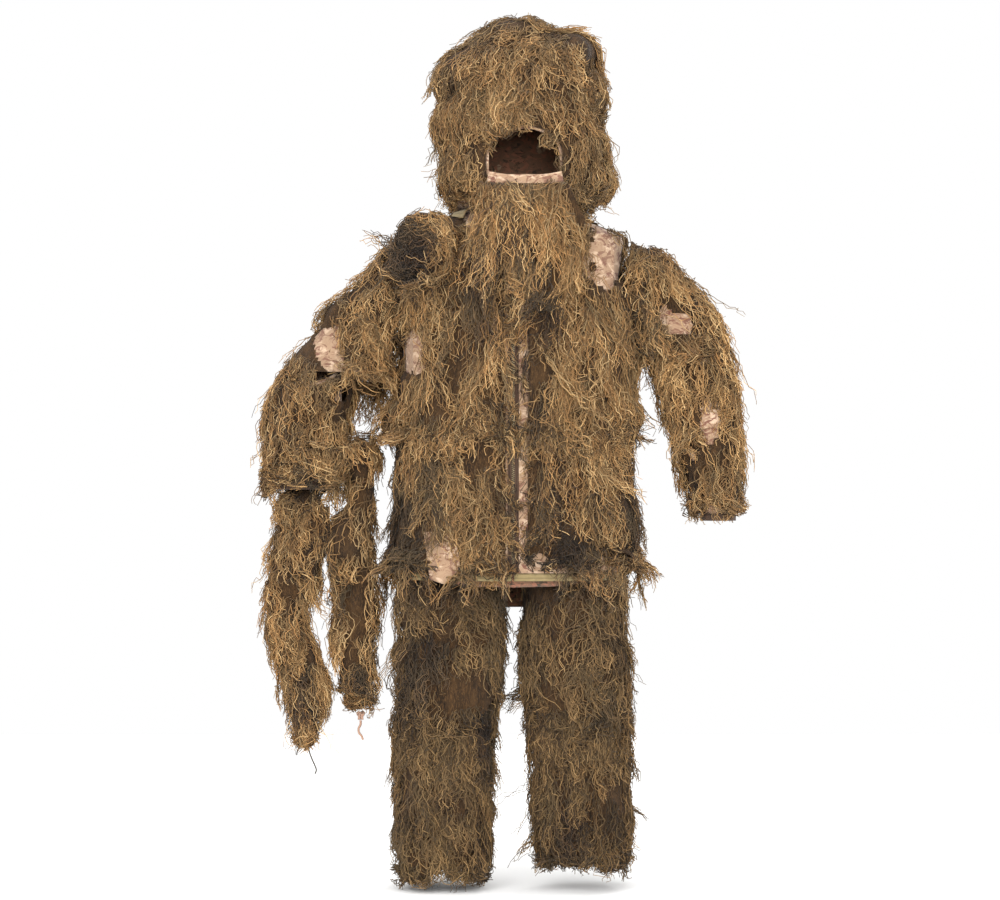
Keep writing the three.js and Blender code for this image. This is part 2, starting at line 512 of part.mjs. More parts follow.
// ---------- rifle wrap ----------
const flatRing = (z, x0, x1, depth) => ({ x: (x0 + x1) / 2 - ARM_OUT, z, width: Math.abs(x1 - x0) / 2, depth, power: 2.2 });
const rightArm = sleeves.right.lower.map((ring) => ({ ...ring, side: -1 }));
const WRAP_BAND_TOP = -488;
add('wrap_sleeve', loft([flatRing(WRAP_BAND_TOP, -524, WRAP_EDGE_X - GAP, 84), flatRing(CUFF_RIGHT_Z, -523, -372, 76)])
  .subtract(loft(rightArm, -GAP))
  .subtract(loft([{ ...rightArm[3], z: -540 }, { ...rightArm[3], z: -600 }], -GAP)), cloth(THREAD_BROWN));
const tailSolid = (rings, pivot, round) => loft(rings, 0, 16)
  .intersect(roundX(0, pivot, round, round, 24).add(box(-REACH, REACH, -REACH, REACH, -REACH, pivot)));
add('wrap_tail_outer', tailSolid([
  flatRing(OUTER_TAIL_PIVOT + OUTER_TAIL_ROUND, -502, -396, 45),
  flatRing(-700, -505, -398, 45),
  flatRing(-860, -518, -434, 42),
  flatRing(-1000, -478, -392, 40),
  flatRing(-1060, -466, -402, 36),
  flatRing(-1107, -452, -424, 14),
], OUTER_TAIL_PIVOT, OUTER_TAIL_ROUND), cloth(THREAD_TAN));
add('wrap_tail_inner', tailSolid([
  flatRing(INNER_TAIL_PIVOT + INNER_TAIL_ROUND, WRAP_EDGE_X, -294, 38),
  flatRing(-600, WRAP_EDGE_X, -290, 38),
  flatRing(-650, -382, -308, 38),
  flatRing(-860, -382, -304, 36),
  flatRing(-990, -364, -289, 34),
  flatRing(-1040, -345, -300, 14),
], INNER_TAIL_PIVOT, INNER_TAIL_ROUND), cloth(THREAD_TAN));

function cordSolid(points, diameter, steps) {
  const route = new THREE.CatmullRomCurve3(points.map(([x, y, z]) => new THREE.Vector3(x - ARM_OUT, y, z)));
  const section = new THREE.Shape(arc(0, 0, diameter / 2, diameter / 2, 0, 315, 7).map(([u, v]) => new THREE.Vector2(u, v)));
  return solidFromGeometry(new THREE.ExtrudeGeometry(section, { steps, extrudePath: route }));
}
const drawcordLong = [[-434, 0, -1107.6], [-433, -1, -1118], [-430, -3, -1130], [-425, -6, -1143], [-419, -8, -1156],
  [-415, -9, -1167], [-418, -10, -1175]];
const drawcordShort = [[-446, 0, -1107.6], [-448, 0, -1114], [-452, -1, -1121], [-456, -2, -1129], [-457, -2, -1137]];
add('wrap_drawcord_long', cordSolid(drawcordLong, DRAWCORD_DIAMETER, 10), cloth(CORD_DARK));
add('wrap_drawcord_short', cordSolid(drawcordShort, DRAWCORD_DIAMETER, 6), cloth(CORD_DARK));
const TIE_KNOT = [-322, 0, -1051.4];
const knot = new THREE.SphereGeometry(11, 10, 8);
knot.translate(TIE_KNOT[0] - ARM_OUT, TIE_KNOT[1], TIE_KNOT[2]);
add('wrap_tie_knot', solidFromGeometry(knot), cloth(CORD_PINK));
const tieCord = [[-322, 0, -1062.8], [-322, -1, -1072], [-326, -2, -1080], [-325, -3, -1089], [-319, -4, -1097],
  [-317, -5, -1104]];
add('wrap_tie_cord', cordSolid(tieCord, TIE_CORD_DIAMETER, 6), cloth(CORD_PINK));

export default group;
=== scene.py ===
import json
import math
from collections import namedtuple

import bmesh
import bpy
import numpy as np
from bpy.props import FloatProperty, FloatVectorProperty, IntProperty, PointerProperty
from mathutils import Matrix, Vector, noise
from mathutils.bvhtree import BVHTree


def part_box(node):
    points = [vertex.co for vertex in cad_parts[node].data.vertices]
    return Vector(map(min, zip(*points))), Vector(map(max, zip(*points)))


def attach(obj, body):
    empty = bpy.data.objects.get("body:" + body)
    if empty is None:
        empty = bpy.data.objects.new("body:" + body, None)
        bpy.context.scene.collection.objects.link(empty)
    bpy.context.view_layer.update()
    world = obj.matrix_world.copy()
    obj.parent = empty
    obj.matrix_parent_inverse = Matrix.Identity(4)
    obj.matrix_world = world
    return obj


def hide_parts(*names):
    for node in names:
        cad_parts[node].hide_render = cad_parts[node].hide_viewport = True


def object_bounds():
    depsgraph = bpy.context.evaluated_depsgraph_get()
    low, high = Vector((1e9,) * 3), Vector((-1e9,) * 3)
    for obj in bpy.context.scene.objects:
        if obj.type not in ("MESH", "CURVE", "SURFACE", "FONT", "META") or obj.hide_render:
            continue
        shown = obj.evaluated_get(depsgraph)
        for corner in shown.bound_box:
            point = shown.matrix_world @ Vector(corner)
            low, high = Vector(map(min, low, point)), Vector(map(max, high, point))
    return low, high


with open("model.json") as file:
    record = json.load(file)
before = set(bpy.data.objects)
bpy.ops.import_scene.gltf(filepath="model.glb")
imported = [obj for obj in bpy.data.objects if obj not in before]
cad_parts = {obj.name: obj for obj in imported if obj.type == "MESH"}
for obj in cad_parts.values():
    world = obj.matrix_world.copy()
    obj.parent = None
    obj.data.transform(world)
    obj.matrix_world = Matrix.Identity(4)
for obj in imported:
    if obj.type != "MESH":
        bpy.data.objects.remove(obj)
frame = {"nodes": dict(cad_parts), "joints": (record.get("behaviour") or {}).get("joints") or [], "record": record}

bl_info = {
    "name": "Ghillie suit",
    "version": (1, 0, 0),
    "blender": (4, 5, 0),
    "location": "3D View > Sidebar > Ghillie suit",
    "description": "Builds a hooded thread suit, its face veil, trousers and rifle wrap on the CAD frame",
    "category": "Object",
}

# ---------- the frame ----------
NODES = frame["nodes"]
BODIES = frame["record"]["behaviour"]["bodies"]
BODY_OF = {node: body for body, members in BODIES.items() for node in members}
PIVOT = {joint["name"]: Vector(joint["pos_m"]) for joint in frame["joints"] if "pos_m" in joint}
CAD_BOX = [list(corner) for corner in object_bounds()]
DOWN = Vector((0, 0, -1))


def middle(node):
    low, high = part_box(node)
    return (low + high) / 2


def end_of(node, top):
    """Middle of a node's upper or lower edge."""
    low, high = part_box(node)
    centre = (low + high) / 2
    return Vector((centre.x, centre.y, high.z if top else low.z))


# Lines that run down the inside of each part of the suit; outward is away from them.
HEART = {
    "torso": [Vector((0, 0, 0.2)), Vector((0, 0, -1.0))],
    "hood": [Vector((middle("hood_shell").x, 0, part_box("hood_shell")[1].z - 0.12)),
             Vector((middle("hood_shell").x, 0, -0.2))],
    "tuft": [middle("shoulder_tuft") + Vector((0, 0.08, z)) for z in (0.02, -0.02)],
    "veil": [middle("veil_threads") + Vector((0, 0.6, z)) for z in (0.3, -0.3)],
}
for hand in ("right", "left"):
    shoulder, elbow = PIVOT[f"shoulder_{hand}"], PIVOT[f"elbow_{hand}"]
    HEART[f"arm_{hand}"] = [shoulder, elbow * 0.5 + shoulder * 0.5,
                            end_of(f"forearm_{hand}", True) + Vector((0, 0, -0.08)),
                            end_of(f"cuff_{hand}", False)]
    HEART[f"leg_{hand}"] = [end_of(f"thigh_{hand}", True), end_of(f"shin_{hand}", False)]
for tail in ("outer", "inner"):
    node = f"wrap_tail_{tail}"
    HEART[f"tail_{tail}"] = [end_of(node, True), middle(node), end_of(node, False)]


def outward(point, heart):
    """Direction from the nearest place on a heart line to a point."""
    best, away = 1e9, Vector((0, -1, 0))
    line = HEART[heart]
    for start, end in zip(line, line[1:]):
        run = end - start
        share = min(1.0, max(0.0, (point - start).dot(run) / run.length_squared))
        gap = point - (start + run * share)
        if gap.length < best:
            best, away = gap.length, gap
    return away.normalized() if away.length > 1e-6 else Vector((0, -1, 0))


# ---------- settings ----------
def colour(red, green, blue):
    """Linear colour of an sRGB one given in 0 to 255."""
    def straight(value):
        value /= 255
        return value / 12.92 if value <= 0.04045 else ((value + 0.055) / 1.055) ** 2.4
    return tuple(straight(value) for value in (red, green, blue))


def length_property(name, description, default, low=0):
    return FloatProperty(name=name, description=description, default=default, min=low, unit="LENGTH",
                         subtype="DISTANCE")


def colour_property(name, description, default):
    return FloatVectorProperty(name=name, description=description, subtype="COLOR", size=3, min=0, max=1,
                               default=default)


class GhillieColours(bpy.types.PropertyGroup):
    """Colours of the cloth and of the parts that aren't thread."""
    camo_ground: colour_property("Camouflage ground", "Main colour of the print", colour(150, 121, 96))
    camo_rust: colour_property("Camouflage rust", "Dark blotches of the print", colour(108, 70, 55))
    camo_sand: colour_property("Camouflage sand", "Light blotches of the print", colour(190, 163, 138))
    lining: colour_property("Lining", "Lining of the hood, cuffs and ankle hems", colour(120, 88, 66))
    lining_print: colour_property("Lining print", "Print on the lining", colour(150, 98, 74))
    webbing: colour_property("Webbing", "Hem band, waistband, strap and zip tapes", colour(132, 116, 78))
    webbing_dark: colour_property("Webbing stripe", "Dark yarns of the webbing", colour(62, 50, 36))
    # The backing's colours are painted shade: the dark that fills the gaps between the locks.
    mat: colour_property("Thread backing", "Dark mass of threads under the locks", colour(72, 51, 29))
    backing_deep_shade: colour_property("Thread backing shade", "Deepest threads", colour(24, 17, 11))
    cord_dark: colour_property("Dark cord", "Drawcords and toggle", colour(34, 30, 27))
    cord_pink: colour_property("Tie cord", "Tie of the inner tail", colour(176, 138, 116))
    metal: colour_property("Zip metal", "Slider, pull and teeth", colour(120, 108, 84))


class GhillieSizes(bpy.types.PropertyGroup):
    """Sizes of the threads and of the cloth's relief."""
    seed: IntProperty(name="Seed", description="Start of every random choice", default=7, min=0)
    thread_width: length_property("Thread width", "Thickness of one thread", 0.0018, 0.0005)
    crinkle: length_property("Crinkle", "Side to side wave of a thread", 0.0036)
    amount: FloatProperty(name="Amount", description="Share of the full number of locks", default=1.0,
                          min=0.05, max=1.5, subtype="FACTOR")
    mat_cell: length_property("Backing cell", "Mesh size of the thread backing", 0.007, 0.003)
    mat_lump: length_property("Backing lumps", "Height of the lumps in the thread backing", 0.007)
    cloth_cell: length_property("Cloth cell", "Mesh size of the cloth", 0.011, 0.004)
    wrinkle: length_property("Wrinkle", "Height of the cloth's folds", 0.0035)


class GhillieStage(bpy.types.PropertyGroup):
    """Camera, floor and light."""
    camera_distance: length_property("Camera distance", "From the suit's middle", 6.0, 1)
    view_width: length_property("View width", "Width that the camera takes in at the suit", 2.088, 0.2)
    key_power: FloatProperty(name="Key light", description="Power of the large front light in watts",
                             default=150, min=0)
    sky: FloatProperty(name="Sky", description="Brightness of the even light all round", default=1.0, min=0)


# ---------- shader helpers ----------

class Shader:
    """Adds nodes to one tree and joins them."""

    def __init__(self, tree):
        self.tree = tree

    def add(self, kind, inputs=None, **settings):
        node = self.tree.nodes.new(kind)
        for name, value in settings.items():
            setattr(node, name, value)
        for name, value in (inputs or {}).items():
            if isinstance(value, bpy.types.NodeSocket):
                self.tree.links.new(value, node.inputs[name])
            else:
                node.inputs[name].default_value = value
        return node

    def maths(self, operation, first, second=0.5):
        node = self.add("ShaderNodeMath", {0: first, 1: second}, operation=operation)
        return node.outputs[0]

    def scaled(self, vector, factor):
        node = self.add("ShaderNodeVectorMath", {0: vector, "Scale": factor}, operation="SCALE")
        return node.outputs[0]

    def join(self, value, socket):
        self.tree.links.new(value, socket)

    def between(self, factor, first, second, blend="MIX"):
        node = self.add("ShaderNodeMix", data_type="RGBA", blend_type=blend)
        for name, value in (("Factor_Float", factor), ("A_Color", first), ("B_Color", second)):
            socket = next(item for item in node.inputs if item.identifier == name)
            if isinstance(value, bpy.types.NodeSocket):
                self.tree.links.new(value, socket)
            else:
                socket.default_value = value
        return next(item for item in node.outputs if item.identifier == "Result_Color")

    def steps(self, factor, low, high):
        """0 below low, 1 above high."""
        node = self.add("ShaderNodeMapRange", {"Value": factor, "From Min": low, "From Max": high})
        return node.outputs["Result"]

    def place(self, scale=(1, 1, 1)):
        """The rest position, stretched by scale."""
        where = self.add("ShaderNodeTexCoord").outputs["Object"]
        return self.add("ShaderNodeMapping", {"Vector": where, "Scale": scale}).outputs["Vector"]

    def noise(self, where, scale, detail=3.0, rough=0.5, warp=0.0):
        node = self.add("ShaderNodeTexNoise", {"Vector": where, "Scale": scale, "Detail": detail,
                                               "Roughness": rough, "Distortion": warp})
        return node.outputs["Fac"]


def new_group(name, inputs, outputs):
    tree = bpy.data.node_groups.new(name, "ShaderNodeTree")
    for label, kind, default in inputs:
        socket = tree.interface.new_socket(name=label, in_out="INPUT", socket_type=kind)
        socket.default_value = default
    for label, kind in outputs:
        tree.interface.new_socket(name=label, in_out="OUTPUT", socket_type=kind)
    shader = Shader(tree)
    source = shader.add("NodeGroupInput")
    result = shader.add("NodeGroupOutput")
    return tree, shader, source.outputs, result.inputs


def rgba(value, share=1.0):
    """A colour with its parts multiplied by share, as a socket takes it."""
    return (*(min(1, part * share) for part in value[:3]), 1.0)


def group_camouflage():
    """Broad torn blotches with leaf-like edges in three colours."""
    tree, s, given, out = new_group(
        "Camouflage print",
        [("Ground", "NodeSocketColor", (0.4, 0.3, 0.2, 1)), ("Rust", "NodeSocketColor", (0.2, 0.1, 0.06, 1)),
         ("Sand", "NodeSocketColor", (0.6, 0.5, 0.4, 1)), ("Scale", "NodeSocketFloat", 1.0)],
        [("Color", "NodeSocketColor")])
    place = s.place((1.0, 1.0, 1.6))
    sized = s.scaled(place, given["Scale"])
    sand = s.steps(s.noise(sized, 27, 5, 0.62, 0.8), 0.52, 0.60)
    rust = s.steps(s.noise(sized, 33, 6, 0.66, 1.3), 0.52, 0.57)
    speck = s.steps(s.noise(sized, 85, 4, 0.7, 0.4), 0.58, 0.63)
    first = s.between(sand, given["Ground"], given["Sand"])
    second = s.between(rust, first, given["Rust"])
    s.join(s.between(s.maths("MULTIPLY", speck, 0.55), second, given["Rust"]), out["Color"])
    return tree


def group_weave():
    """Crossed yarns: a height for the bump and a mask of the yarns' tops."""
    tree, s, given, out = new_group(
        "Plain weave", [("Yarns per metre", "NodeSocketFloat", 900.0)],
        [("Height", "NodeSocketFloat"), ("Yarn", "NodeSocketFloat")])
    place = s.place()
    sized = s.scaled(place, given["Yarns per metre"])
    parts = s.add("ShaderNodeSeparateXYZ", {0: sized}).outputs
    across = s.maths("ABSOLUTE", s.maths("SINE", s.maths("ADD", parts["X"], parts["Y"])))
    along = s.maths("ABSOLUTE", s.maths("SINE", parts["Z"]))
    top = s.maths("MAXIMUM", across, along)
    fuzz = s.noise(place, 700, 2, 0.6)
    height = s.maths("ADD", s.maths("MULTIPLY", top, 0.7), s.maths("MULTIPLY", fuzz, 0.5))
    s.join(height, out["Height"])
    s.join(s.maths("MULTIPLY", across, along), out["Yarn"])
    return tree


def group_wear():
    """Dust, fading and old stains laid over a colour."""
    tree, s, given, out = new_group(
        "Dust and fading",
        [("Color", "NodeSocketColor", (0.5, 0.5, 0.5, 1)), ("Dust", "NodeSocketColor", (0.5, 0.4, 0.3, 1)),
         ("Amount", "NodeSocketFloat", 0.3)],
        [("Color", "NodeSocketColor"), ("Rough", "NodeSocketFloat")])
    place = s.place()
    cloud = s.noise(place, 9, 4, 0.6)
    grit = s.noise(place, 160, 3, 0.6)
    settled = s.maths("ADD", s.maths("MULTIPLY", cloud, 0.7), s.maths("MULTIPLY", grit, 0.3))
    dusty = s.maths("MULTIPLY", s.steps(settled, 0.42, 0.62), given["Amount"])
    stain = s.maths("MULTIPLY", s.steps(s.noise(place, 5, 3, 0.5, 0.5), 0.55, 0.75), 0.35)
    base = s.between(stain, given["Color"], (0.055, 0.036, 0.022, 1))
    s.join(s.between(dusty, base, given["Dust"]), out["Color"])
    s.join(s.maths("ADD", s.maths("MULTIPLY", dusty, 0.15), 0.8), out["Rough"])
    return tree


def group_fibre():
    """Twist and loose hairs of spun thread, stretched down its length."""
    tree, s, given, out = new_group(
        "Spun fibre", [("Fineness", "NodeSocketFloat", 1.0)],
        [("Height", "NodeSocketFloat"), ("Mottle", "NodeSocketFloat")])
    place = s.place((1.0, 1.0, 0.32))
    sized = s.scaled(place, given["Fineness"])
    s.join(s.noise(sized, 620, 3, 0.65, 0.6), out["Height"])
    s.join(s.noise(sized, 60, 4, 0.6, 1.2), out["Mottle"])
    return tree


GROUPS = {}
MATERIALS = {}


def material(name, roughness=0.85, sheen=0.2, metallic=0.0, specular=0.3):
    """A new material with one Principled BSDF, its shader helper and that BSDF's inputs."""
    made = bpy.data.materials.new(name)
    made.use_nodes = True
    surface = made.node_tree.nodes["Principled BSDF"].inputs
    surface["Roughness"].default_value = roughness
    surface["Sheen Weight"].default_value = sheen
    surface["Sheen Roughness"].default_value = 0.6
    surface["Metallic"].default_value = metallic
    surface["Specular IOR Level"].default_value = specular
    MATERIALS[name] = made
    return Shader(made.node_tree), surface


def use(shader, group, **inputs):
    node = shader.add("ShaderNodeGroup", node_tree=GROUPS[group])
    for name, value in inputs.items():
        if isinstance(value, bpy.types.NodeSocket):
            shader.join(value, node.inputs[name])
        else:
            node.inputs[name].default_value = value
    return node.outputs


def raise_surface(shader, surface, height, strength, distance):
    bump = shader.add("ShaderNodeBump", {"Height": height, "Strength": strength, "Distance": distance})
    shader.join(bump.outputs["Normal"], surface["Normal"])


def woven_material(colour_socket, shader, surface, dust, yarns, bump=0.5):
    """Finishes a cloth: weave shading, dust, roughness and bump."""
    weave = use(shader, "weave", **{"Yarns per metre": yarns})
    shaded = shader.between(shader.maths("MULTIPLY", weave["Yarn"], 0.2), colour_socket, (0.7, 0.62, 0.55, 1),
                            "SOFT_LIGHT")
    worn = use(shader, "wear", Color=shaded, Dust=rgba(dust), Amount=0.16)
    shader.join(worn["Color"], surface["Base Color"])
    shader.join(worn["Rough"], surface["Roughness"])
    folds = shader.noise(shader.place(), 38, 4, 0.55, 0.4)
    height = shader.maths("ADD", shader.maths("MULTIPLY", weave["Height"], 0.35), folds)
    raise_surface(shader, surface, height, bump, 0.0025)


def make_materials(colours):
    GROUPS.update(camo=group_camouflage(), weave=group_weave(), wear=group_wear(), fibre=group_fibre())
    dust = colour(196, 172, 138)

    s, surface = material("camo_cloth", sheen=0.12)
    camo = use(s, "camo", Ground=rgba(colours.camo_ground), Rust=rgba(colours.camo_rust),
               Sand=rgba(colours.camo_sand), Scale=1.0)
    woven_material(camo["Color"], s, surface, dust, 1400)

    s, surface = material("lining_cloth", sheen=0.15)
    camo = use(s, "camo", Ground=rgba(colours.lining), Rust=rgba(colours.lining_print),
               Sand=rgba(colours.webbing_dark), Scale=1.5)
    woven_material(camo["Color"], s, surface, colours.lining, 1400)

    s, surface = material("rib_knit", sheen=0.1)
    ribs = s.add("ShaderNodeSeparateXYZ", {0: s.place()}).outputs
    round_cuff = s.maths("MULTIPLY", s.maths("ADD", ribs["X"], ribs["Y"]), 700.0)
    # The ribs show only in colour: the dark stripes are painted shade in the grooves between them.
    rib = s.maths("ABSOLUTE", s.maths("SINE", round_cuff))
    knit_and_groove_shade = s.between(rib, rgba(colours.lining, 0.12), rgba(colours.lining, 0.4))
    woven_material(knit_and_groove_shade, s, surface, colours.webbing_dark, 1900, 0.8)

    s, surface = material("webbing", sheen=0.1)
    ribs = s.add("ShaderNodeSeparateXYZ", {0: s.place()}).outputs
    stripe = s.steps(s.maths("SINE", s.maths("MULTIPLY", ribs["Z"], 780.0)), 0.2, 0.8)
    band = s.between(s.maths("MULTIPLY", stripe, 0.35), rgba(colours.webbing), rgba(colours.webbing_dark))
    woven_material(band, s, surface, dust, 2200, 0.7)

    s, surface = material("thread_backing_shade", sheen=0.04, specular=0.1)
    fibre = use(s, "fibre", Fineness=0.5)
    # Painted shade: the backing is dark so that the gaps between the locks read as shadow; the lighter streaks are
    # loose fibres.
    tone = s.between(s.steps(fibre["Mottle"], 0.35, 0.7), rgba(colours.backing_deep_shade), rgba(colours.mat))
    strands = s.noise(s.place((1.0, 1.0, 0.2)), 240, 4, 0.7, 2.0)
    tone = s.between(s.steps(strands, 0.48, 0.66), tone, rgba(colours.mat, 1.7))
    worn = use(s, "wear", Color=tone, Dust=rgba(colours.mat), Amount=0.2)
    s.join(worn["Color"], surface["Base Color"])
    s.join(worn["Rough"], surface["Roughness"])
    raise_surface(s, surface, s.maths("ADD", strands, fibre["Height"]), 0.9, 0.004)

    s, surface = material("thread", sheen=0.06, specular=0.2)
    # The vertex colour holds each thread's palette colour with its painted shade, dark at the roots and light at
    # the tips.
    tint_and_shade = s.add("ShaderNodeVertexColor", layer_name="thread_tint_and_shade").outputs["Color"]
    fibre = use(s, "fibre", Fineness=1.0)
    soiled = s.between(1.0, tint_and_shade, (0.62, 0.58, 0.52, 1), "MULTIPLY")
    spun = s.between(s.steps(fibre["Mottle"], 0.3, 0.75), tint_and_shade, soiled)
    worn = use(s, "wear", Color=spun, Dust=rgba(colour(190, 160, 112)), Amount=0.12)
    s.join(worn["Color"], surface["Base Color"])
    s.join(worn["Rough"], surface["Roughness"])
    raise_surface(s, surface, fibre["Height"], 0.6, 0.0008)

    for name, tone, light in (("cord_dark", colours.cord_dark, 2.6), ("cord_pink", colours.cord_pink, 1.3)):
        s, surface = material(name, roughness=0.75, sheen=0.2)
        fibre = use(s, "fibre", Fineness=1.6)
        wave = {"Vector": s.place((1, 1, 1)), "Scale": 190.0, "Distortion": 1.5}
        twist = s.add("ShaderNodeTexWave", wave, bands_direction="DIAGONAL").outputs["Fac"]
        lit = s.between(s.maths("MULTIPLY", twist, 0.6), rgba(tone), rgba(tone, light))
        worn = use(s, "wear", Color=lit, Dust=rgba(dust), Amount=0.12)
        s.join(worn["Color"], surface["Base Color"])
        raise_surface(s, surface, s.maths("ADD", twist, fibre["Height"]), 0.8, 0.0012)

    s, surface = material("toggle_plastic", roughness=0.45, sheen=0.0, specular=0.5)
    scuff = s.noise(s.place(), 420, 4, 0.7)
    scuffed = s.between(s.steps(scuff, 0.52, 0.7), rgba(colours.cord_dark), rgba(colours.cord_dark, 2.4))
    worn = use(s, "wear", Color=scuffed, Dust=rgba(dust), Amount=0.15)
    s.join(worn["Color"], surface["Base Color"])
    raise_surface(s, surface, scuff, 0.3, 0.0006)

    s, surface = material("zip_metal", roughness=0.4, sheen=0.0, metallic=1.0, specular=0.5)
    scratch = s.noise(s.place((1, 1, 0.1)), 900, 3, 0.7)
    tarnish = s.steps(s.noise(s.place(), 140, 4, 0.6), 0.45, 0.65)
    s.join(s.between(tarnish, rgba(colours.metal), rgba(colours.metal, 0.35)), surface["Base Color"])
    s.join(s.maths("ADD", s.maths("MULTIPLY", scratch, 0.35), 0.25), surface["Roughness"])
    raise_surface(s, surface, scratch, 0.2, 0.0003)


# ---------- mesh helpers ----------
def new_piece(name, mesh, body, look, smooth=True):
    """Links a mesh as a piece that rides on a body."""
    mesh.materials.clear()
    mesh.materials.append(MATERIALS[look])
    piece = bpy.data.objects.new(name, mesh)
    bpy.context.scene.collection.objects.link(piece)
    if smooth:
        mesh.polygons.foreach_set("use_smooth", [True] * len(mesh.polygons))
    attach(piece, body)
    return piece


def replace_node(node, name, mesh, look, smooth=True):
    """Links a mesh as the piece that stands for a CAD node."""
    piece = new_piece(name, mesh, BODY_OF[node], look, smooth)
    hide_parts(node)
    return piece


def node_bmesh(node):
    """The CAD node's mesh as one closed surface."""
    shape = bmesh.new()
    shape.from_mesh(NODES[node].data)
    bmesh.ops.remove_doubles(shape, verts=shape.verts, dist=2e-5)
    return shape


def node_tree(node):
    shape = node_bmesh(node)
    bmesh.ops.triangulate(shape, faces=shape.faces)
    tree = BVHTree.FromBMesh(shape)
    shape.free()
    return tree


def to_mesh(shape, name):
    bmesh.ops.recalc_face_normals(shape, faces=shape.faces)
    mesh = bpy.data.meshes.new(name)
    shape.to_mesh(mesh)
    shape.free()
    return mesh


def refine(shape, cell):
    """Splits every edge that is longer than cell."""
    bmesh.ops.triangulate(shape, faces=shape.faces)
    for _ in range(9):
        long_edges = [edge for edge in shape.edges if edge.calc_length() > cell]
        if not long_edges:
            break
        bmesh.ops.subdivide_edges(shape, edges=long_edges, cuts=1)
        bmesh.ops.triangulate(shape, faces=[face for face in shape.faces if len(face.verts) > 3])


def fold(point, seed):
    """Height from -1 to 1 of the folds of hanging cloth at a point."""
    spot = Vector((point.x * 13 + seed, point.y * 13, point.z * 6.5 - seed))
    ridge = 1 - 2 * abs(noise.noise(spot))
    fine = noise.noise(Vector((point.x * 34, point.y * 34 + seed, point.z * 22)))
    return 0.7 * ridge + 0.5 * fine


# ---------- stage ----------
def build_stage(settings):
    scene = bpy.context.scene
    low, high = (Vector(corner) for corner in CAD_BOX)
    eye = Vector(((low.x + high.x) / 2 - 0.007, 0, (low.z + high.z) / 2 + 0.002))
    camera_data = bpy.data.cameras.new("camera")
    camera_data.sensor_width = 36
    suit_plane = -0.08
    camera_data.lens = 36 * (settings.camera_distance + suit_plane) / settings.view_width
    camera_data.clip_end = 60
    camera = bpy.data.objects.new("camera", camera_data)
    camera.location = (eye.x, -settings.camera_distance, eye.z)
    camera.rotation_euler = (math.radians(90), 0, 0)
    scene.collection.objects.link(camera)
    scene.camera = camera

    floor_z = low.z - 0.024
    reach = 3.2
    shape = bmesh.new()
    shape.faces.new([shape.verts.new((x * reach, y * reach, floor_z))
                     for x, y in ((-1, -1), (1, -1), (1, 1), (-1, 1))])
    mesh = bpy.data.meshes.new("floor")
    shape.to_mesh(mesh)
    shape.free()
    mesh.polygons.foreach_set("use_smooth", [True] * len(mesh.polygons))
    paper = bpy.data.materials.new("floor_paper")
    paper.use_nodes = True
    surface = paper.node_tree.nodes["Principled BSDF"].inputs
    surface["Base Color"].default_value = (0.93, 0.93, 0.925, 1)
    surface["Roughness"].default_value = 0.95
    surface["Specular IOR Level"].default_value = 0.1
    mesh.materials.append(paper)
    floor = bpy.data.objects.new("floor", mesh)
    scene.collection.objects.link(floor)

    world = bpy.data.worlds.new("even light")
    world.use_nodes = True
    world.node_tree.nodes["Background"].inputs["Color"].default_value = (1, 1, 1, 1)
    world.node_tree.nodes["Background"].inputs["Strength"].default_value = settings.sky
    scene.world = world
    scene.view_settings.view_transform = "Standard"
    lamps = (("key", (-2.0, -4.2, 1.7), 2.6, settings.key_power),
             ("front", (0.3, -5.6, 0.5), 1.6, settings.key_power * 0.9),
             ("fill", (2.8, -3.4, 0.4), 2.4, settings.key_power * 0.45),
             ("back_right", (2.4, 4.0, 1.4), 2.2, settings.key_power * 0.6),
             ("top", (0.0, -0.4, 3.2), 2.4, settings.key_power * 0.35))
    for name, place, size, power in lamps:
        light = bpy.data.lights.new(name, "AREA")
        light.energy = power
        light.size = size
        lamp = bpy.data.objects.new(name, light)
        lamp.location = place
        lamp.rotation_euler = (Vector((0, 0, -0.5)) - Vector(place)).to_track_quat("-Z", "Y").to_euler()
        scene.collection.objects.link(lamp)


# ---------- cords ----------
# The routes repeat the CAD's, in metres.
DRAWCORD_LONG = [
    (-0.434, 0, -1.1076), (-0.433, -0.001, -1.118), (-0.430, -0.003, -1.130), (-0.425, -0.006, -1.143),
    (-0.419, -0.008, -1.156), (-0.415, -0.009, -1.167), (-0.418, -0.010, -1.175),
]
DRAWCORD_SHORT = [
    (-0.446, 0, -1.1076), (-0.448, 0, -1.114), (-0.452, -0.001, -1.121), (-0.456, -0.002, -1.129),
    (-0.457, -0.002, -1.137),
]
TIE_CORD = [
    (-0.322, 0, -1.0628), (-0.322, -0.001, -1.072), (-0.326, -0.002, -1.080), (-0.325, -0.003, -1.089),
    (-0.319, -0.004, -1.097), (-0.317, -0.005, -1.104),
]
DRAWCORD_WIDTH = 0.003
TIE_CORD_WIDTH = 0.005
ROUTE_POINTS = 19


def smooth_route(points, count=ROUTE_POINTS):
    """Points of a Catmull-Rom curve through the given ones, evenly spread."""
    rows = [Vector(point) for point in points]
    rows = [rows[0] * 2 - rows[1]] + rows + [rows[-1] * 2 - rows[-2]]
    fine = []
    for a, b, c, d in zip(rows, rows[1:], rows[2:], rows[3:]):
        for step in range(20):
            t = step / 20
            fine.append(0.5 * (2 * b + (c - a) * t + (2 * a - 5 * b + 4 * c - d) * t * t
                               + (3 * b - a - 3 * c + d) * t ** 3))
    fine.append(rows[-2])
    lengths = [0.0]
    for near, far in zip(fine, fine[1:]):
        lengths.append(lengths[-1] + (far - near).length)
    route = []
    for step in range(count):
        want = lengths[-1] * step / (count - 1)
        at = max(1, next((i for i, value in enumerate(lengths) if value >= want - 1e-9), len(lengths) - 1))
        share = (want - lengths[at - 1]) / max(1e-9, lengths[at] - lengths[at - 1])
        route.append(fine[at - 1].lerp(fine[at], share))
    return route, lengths[-1]


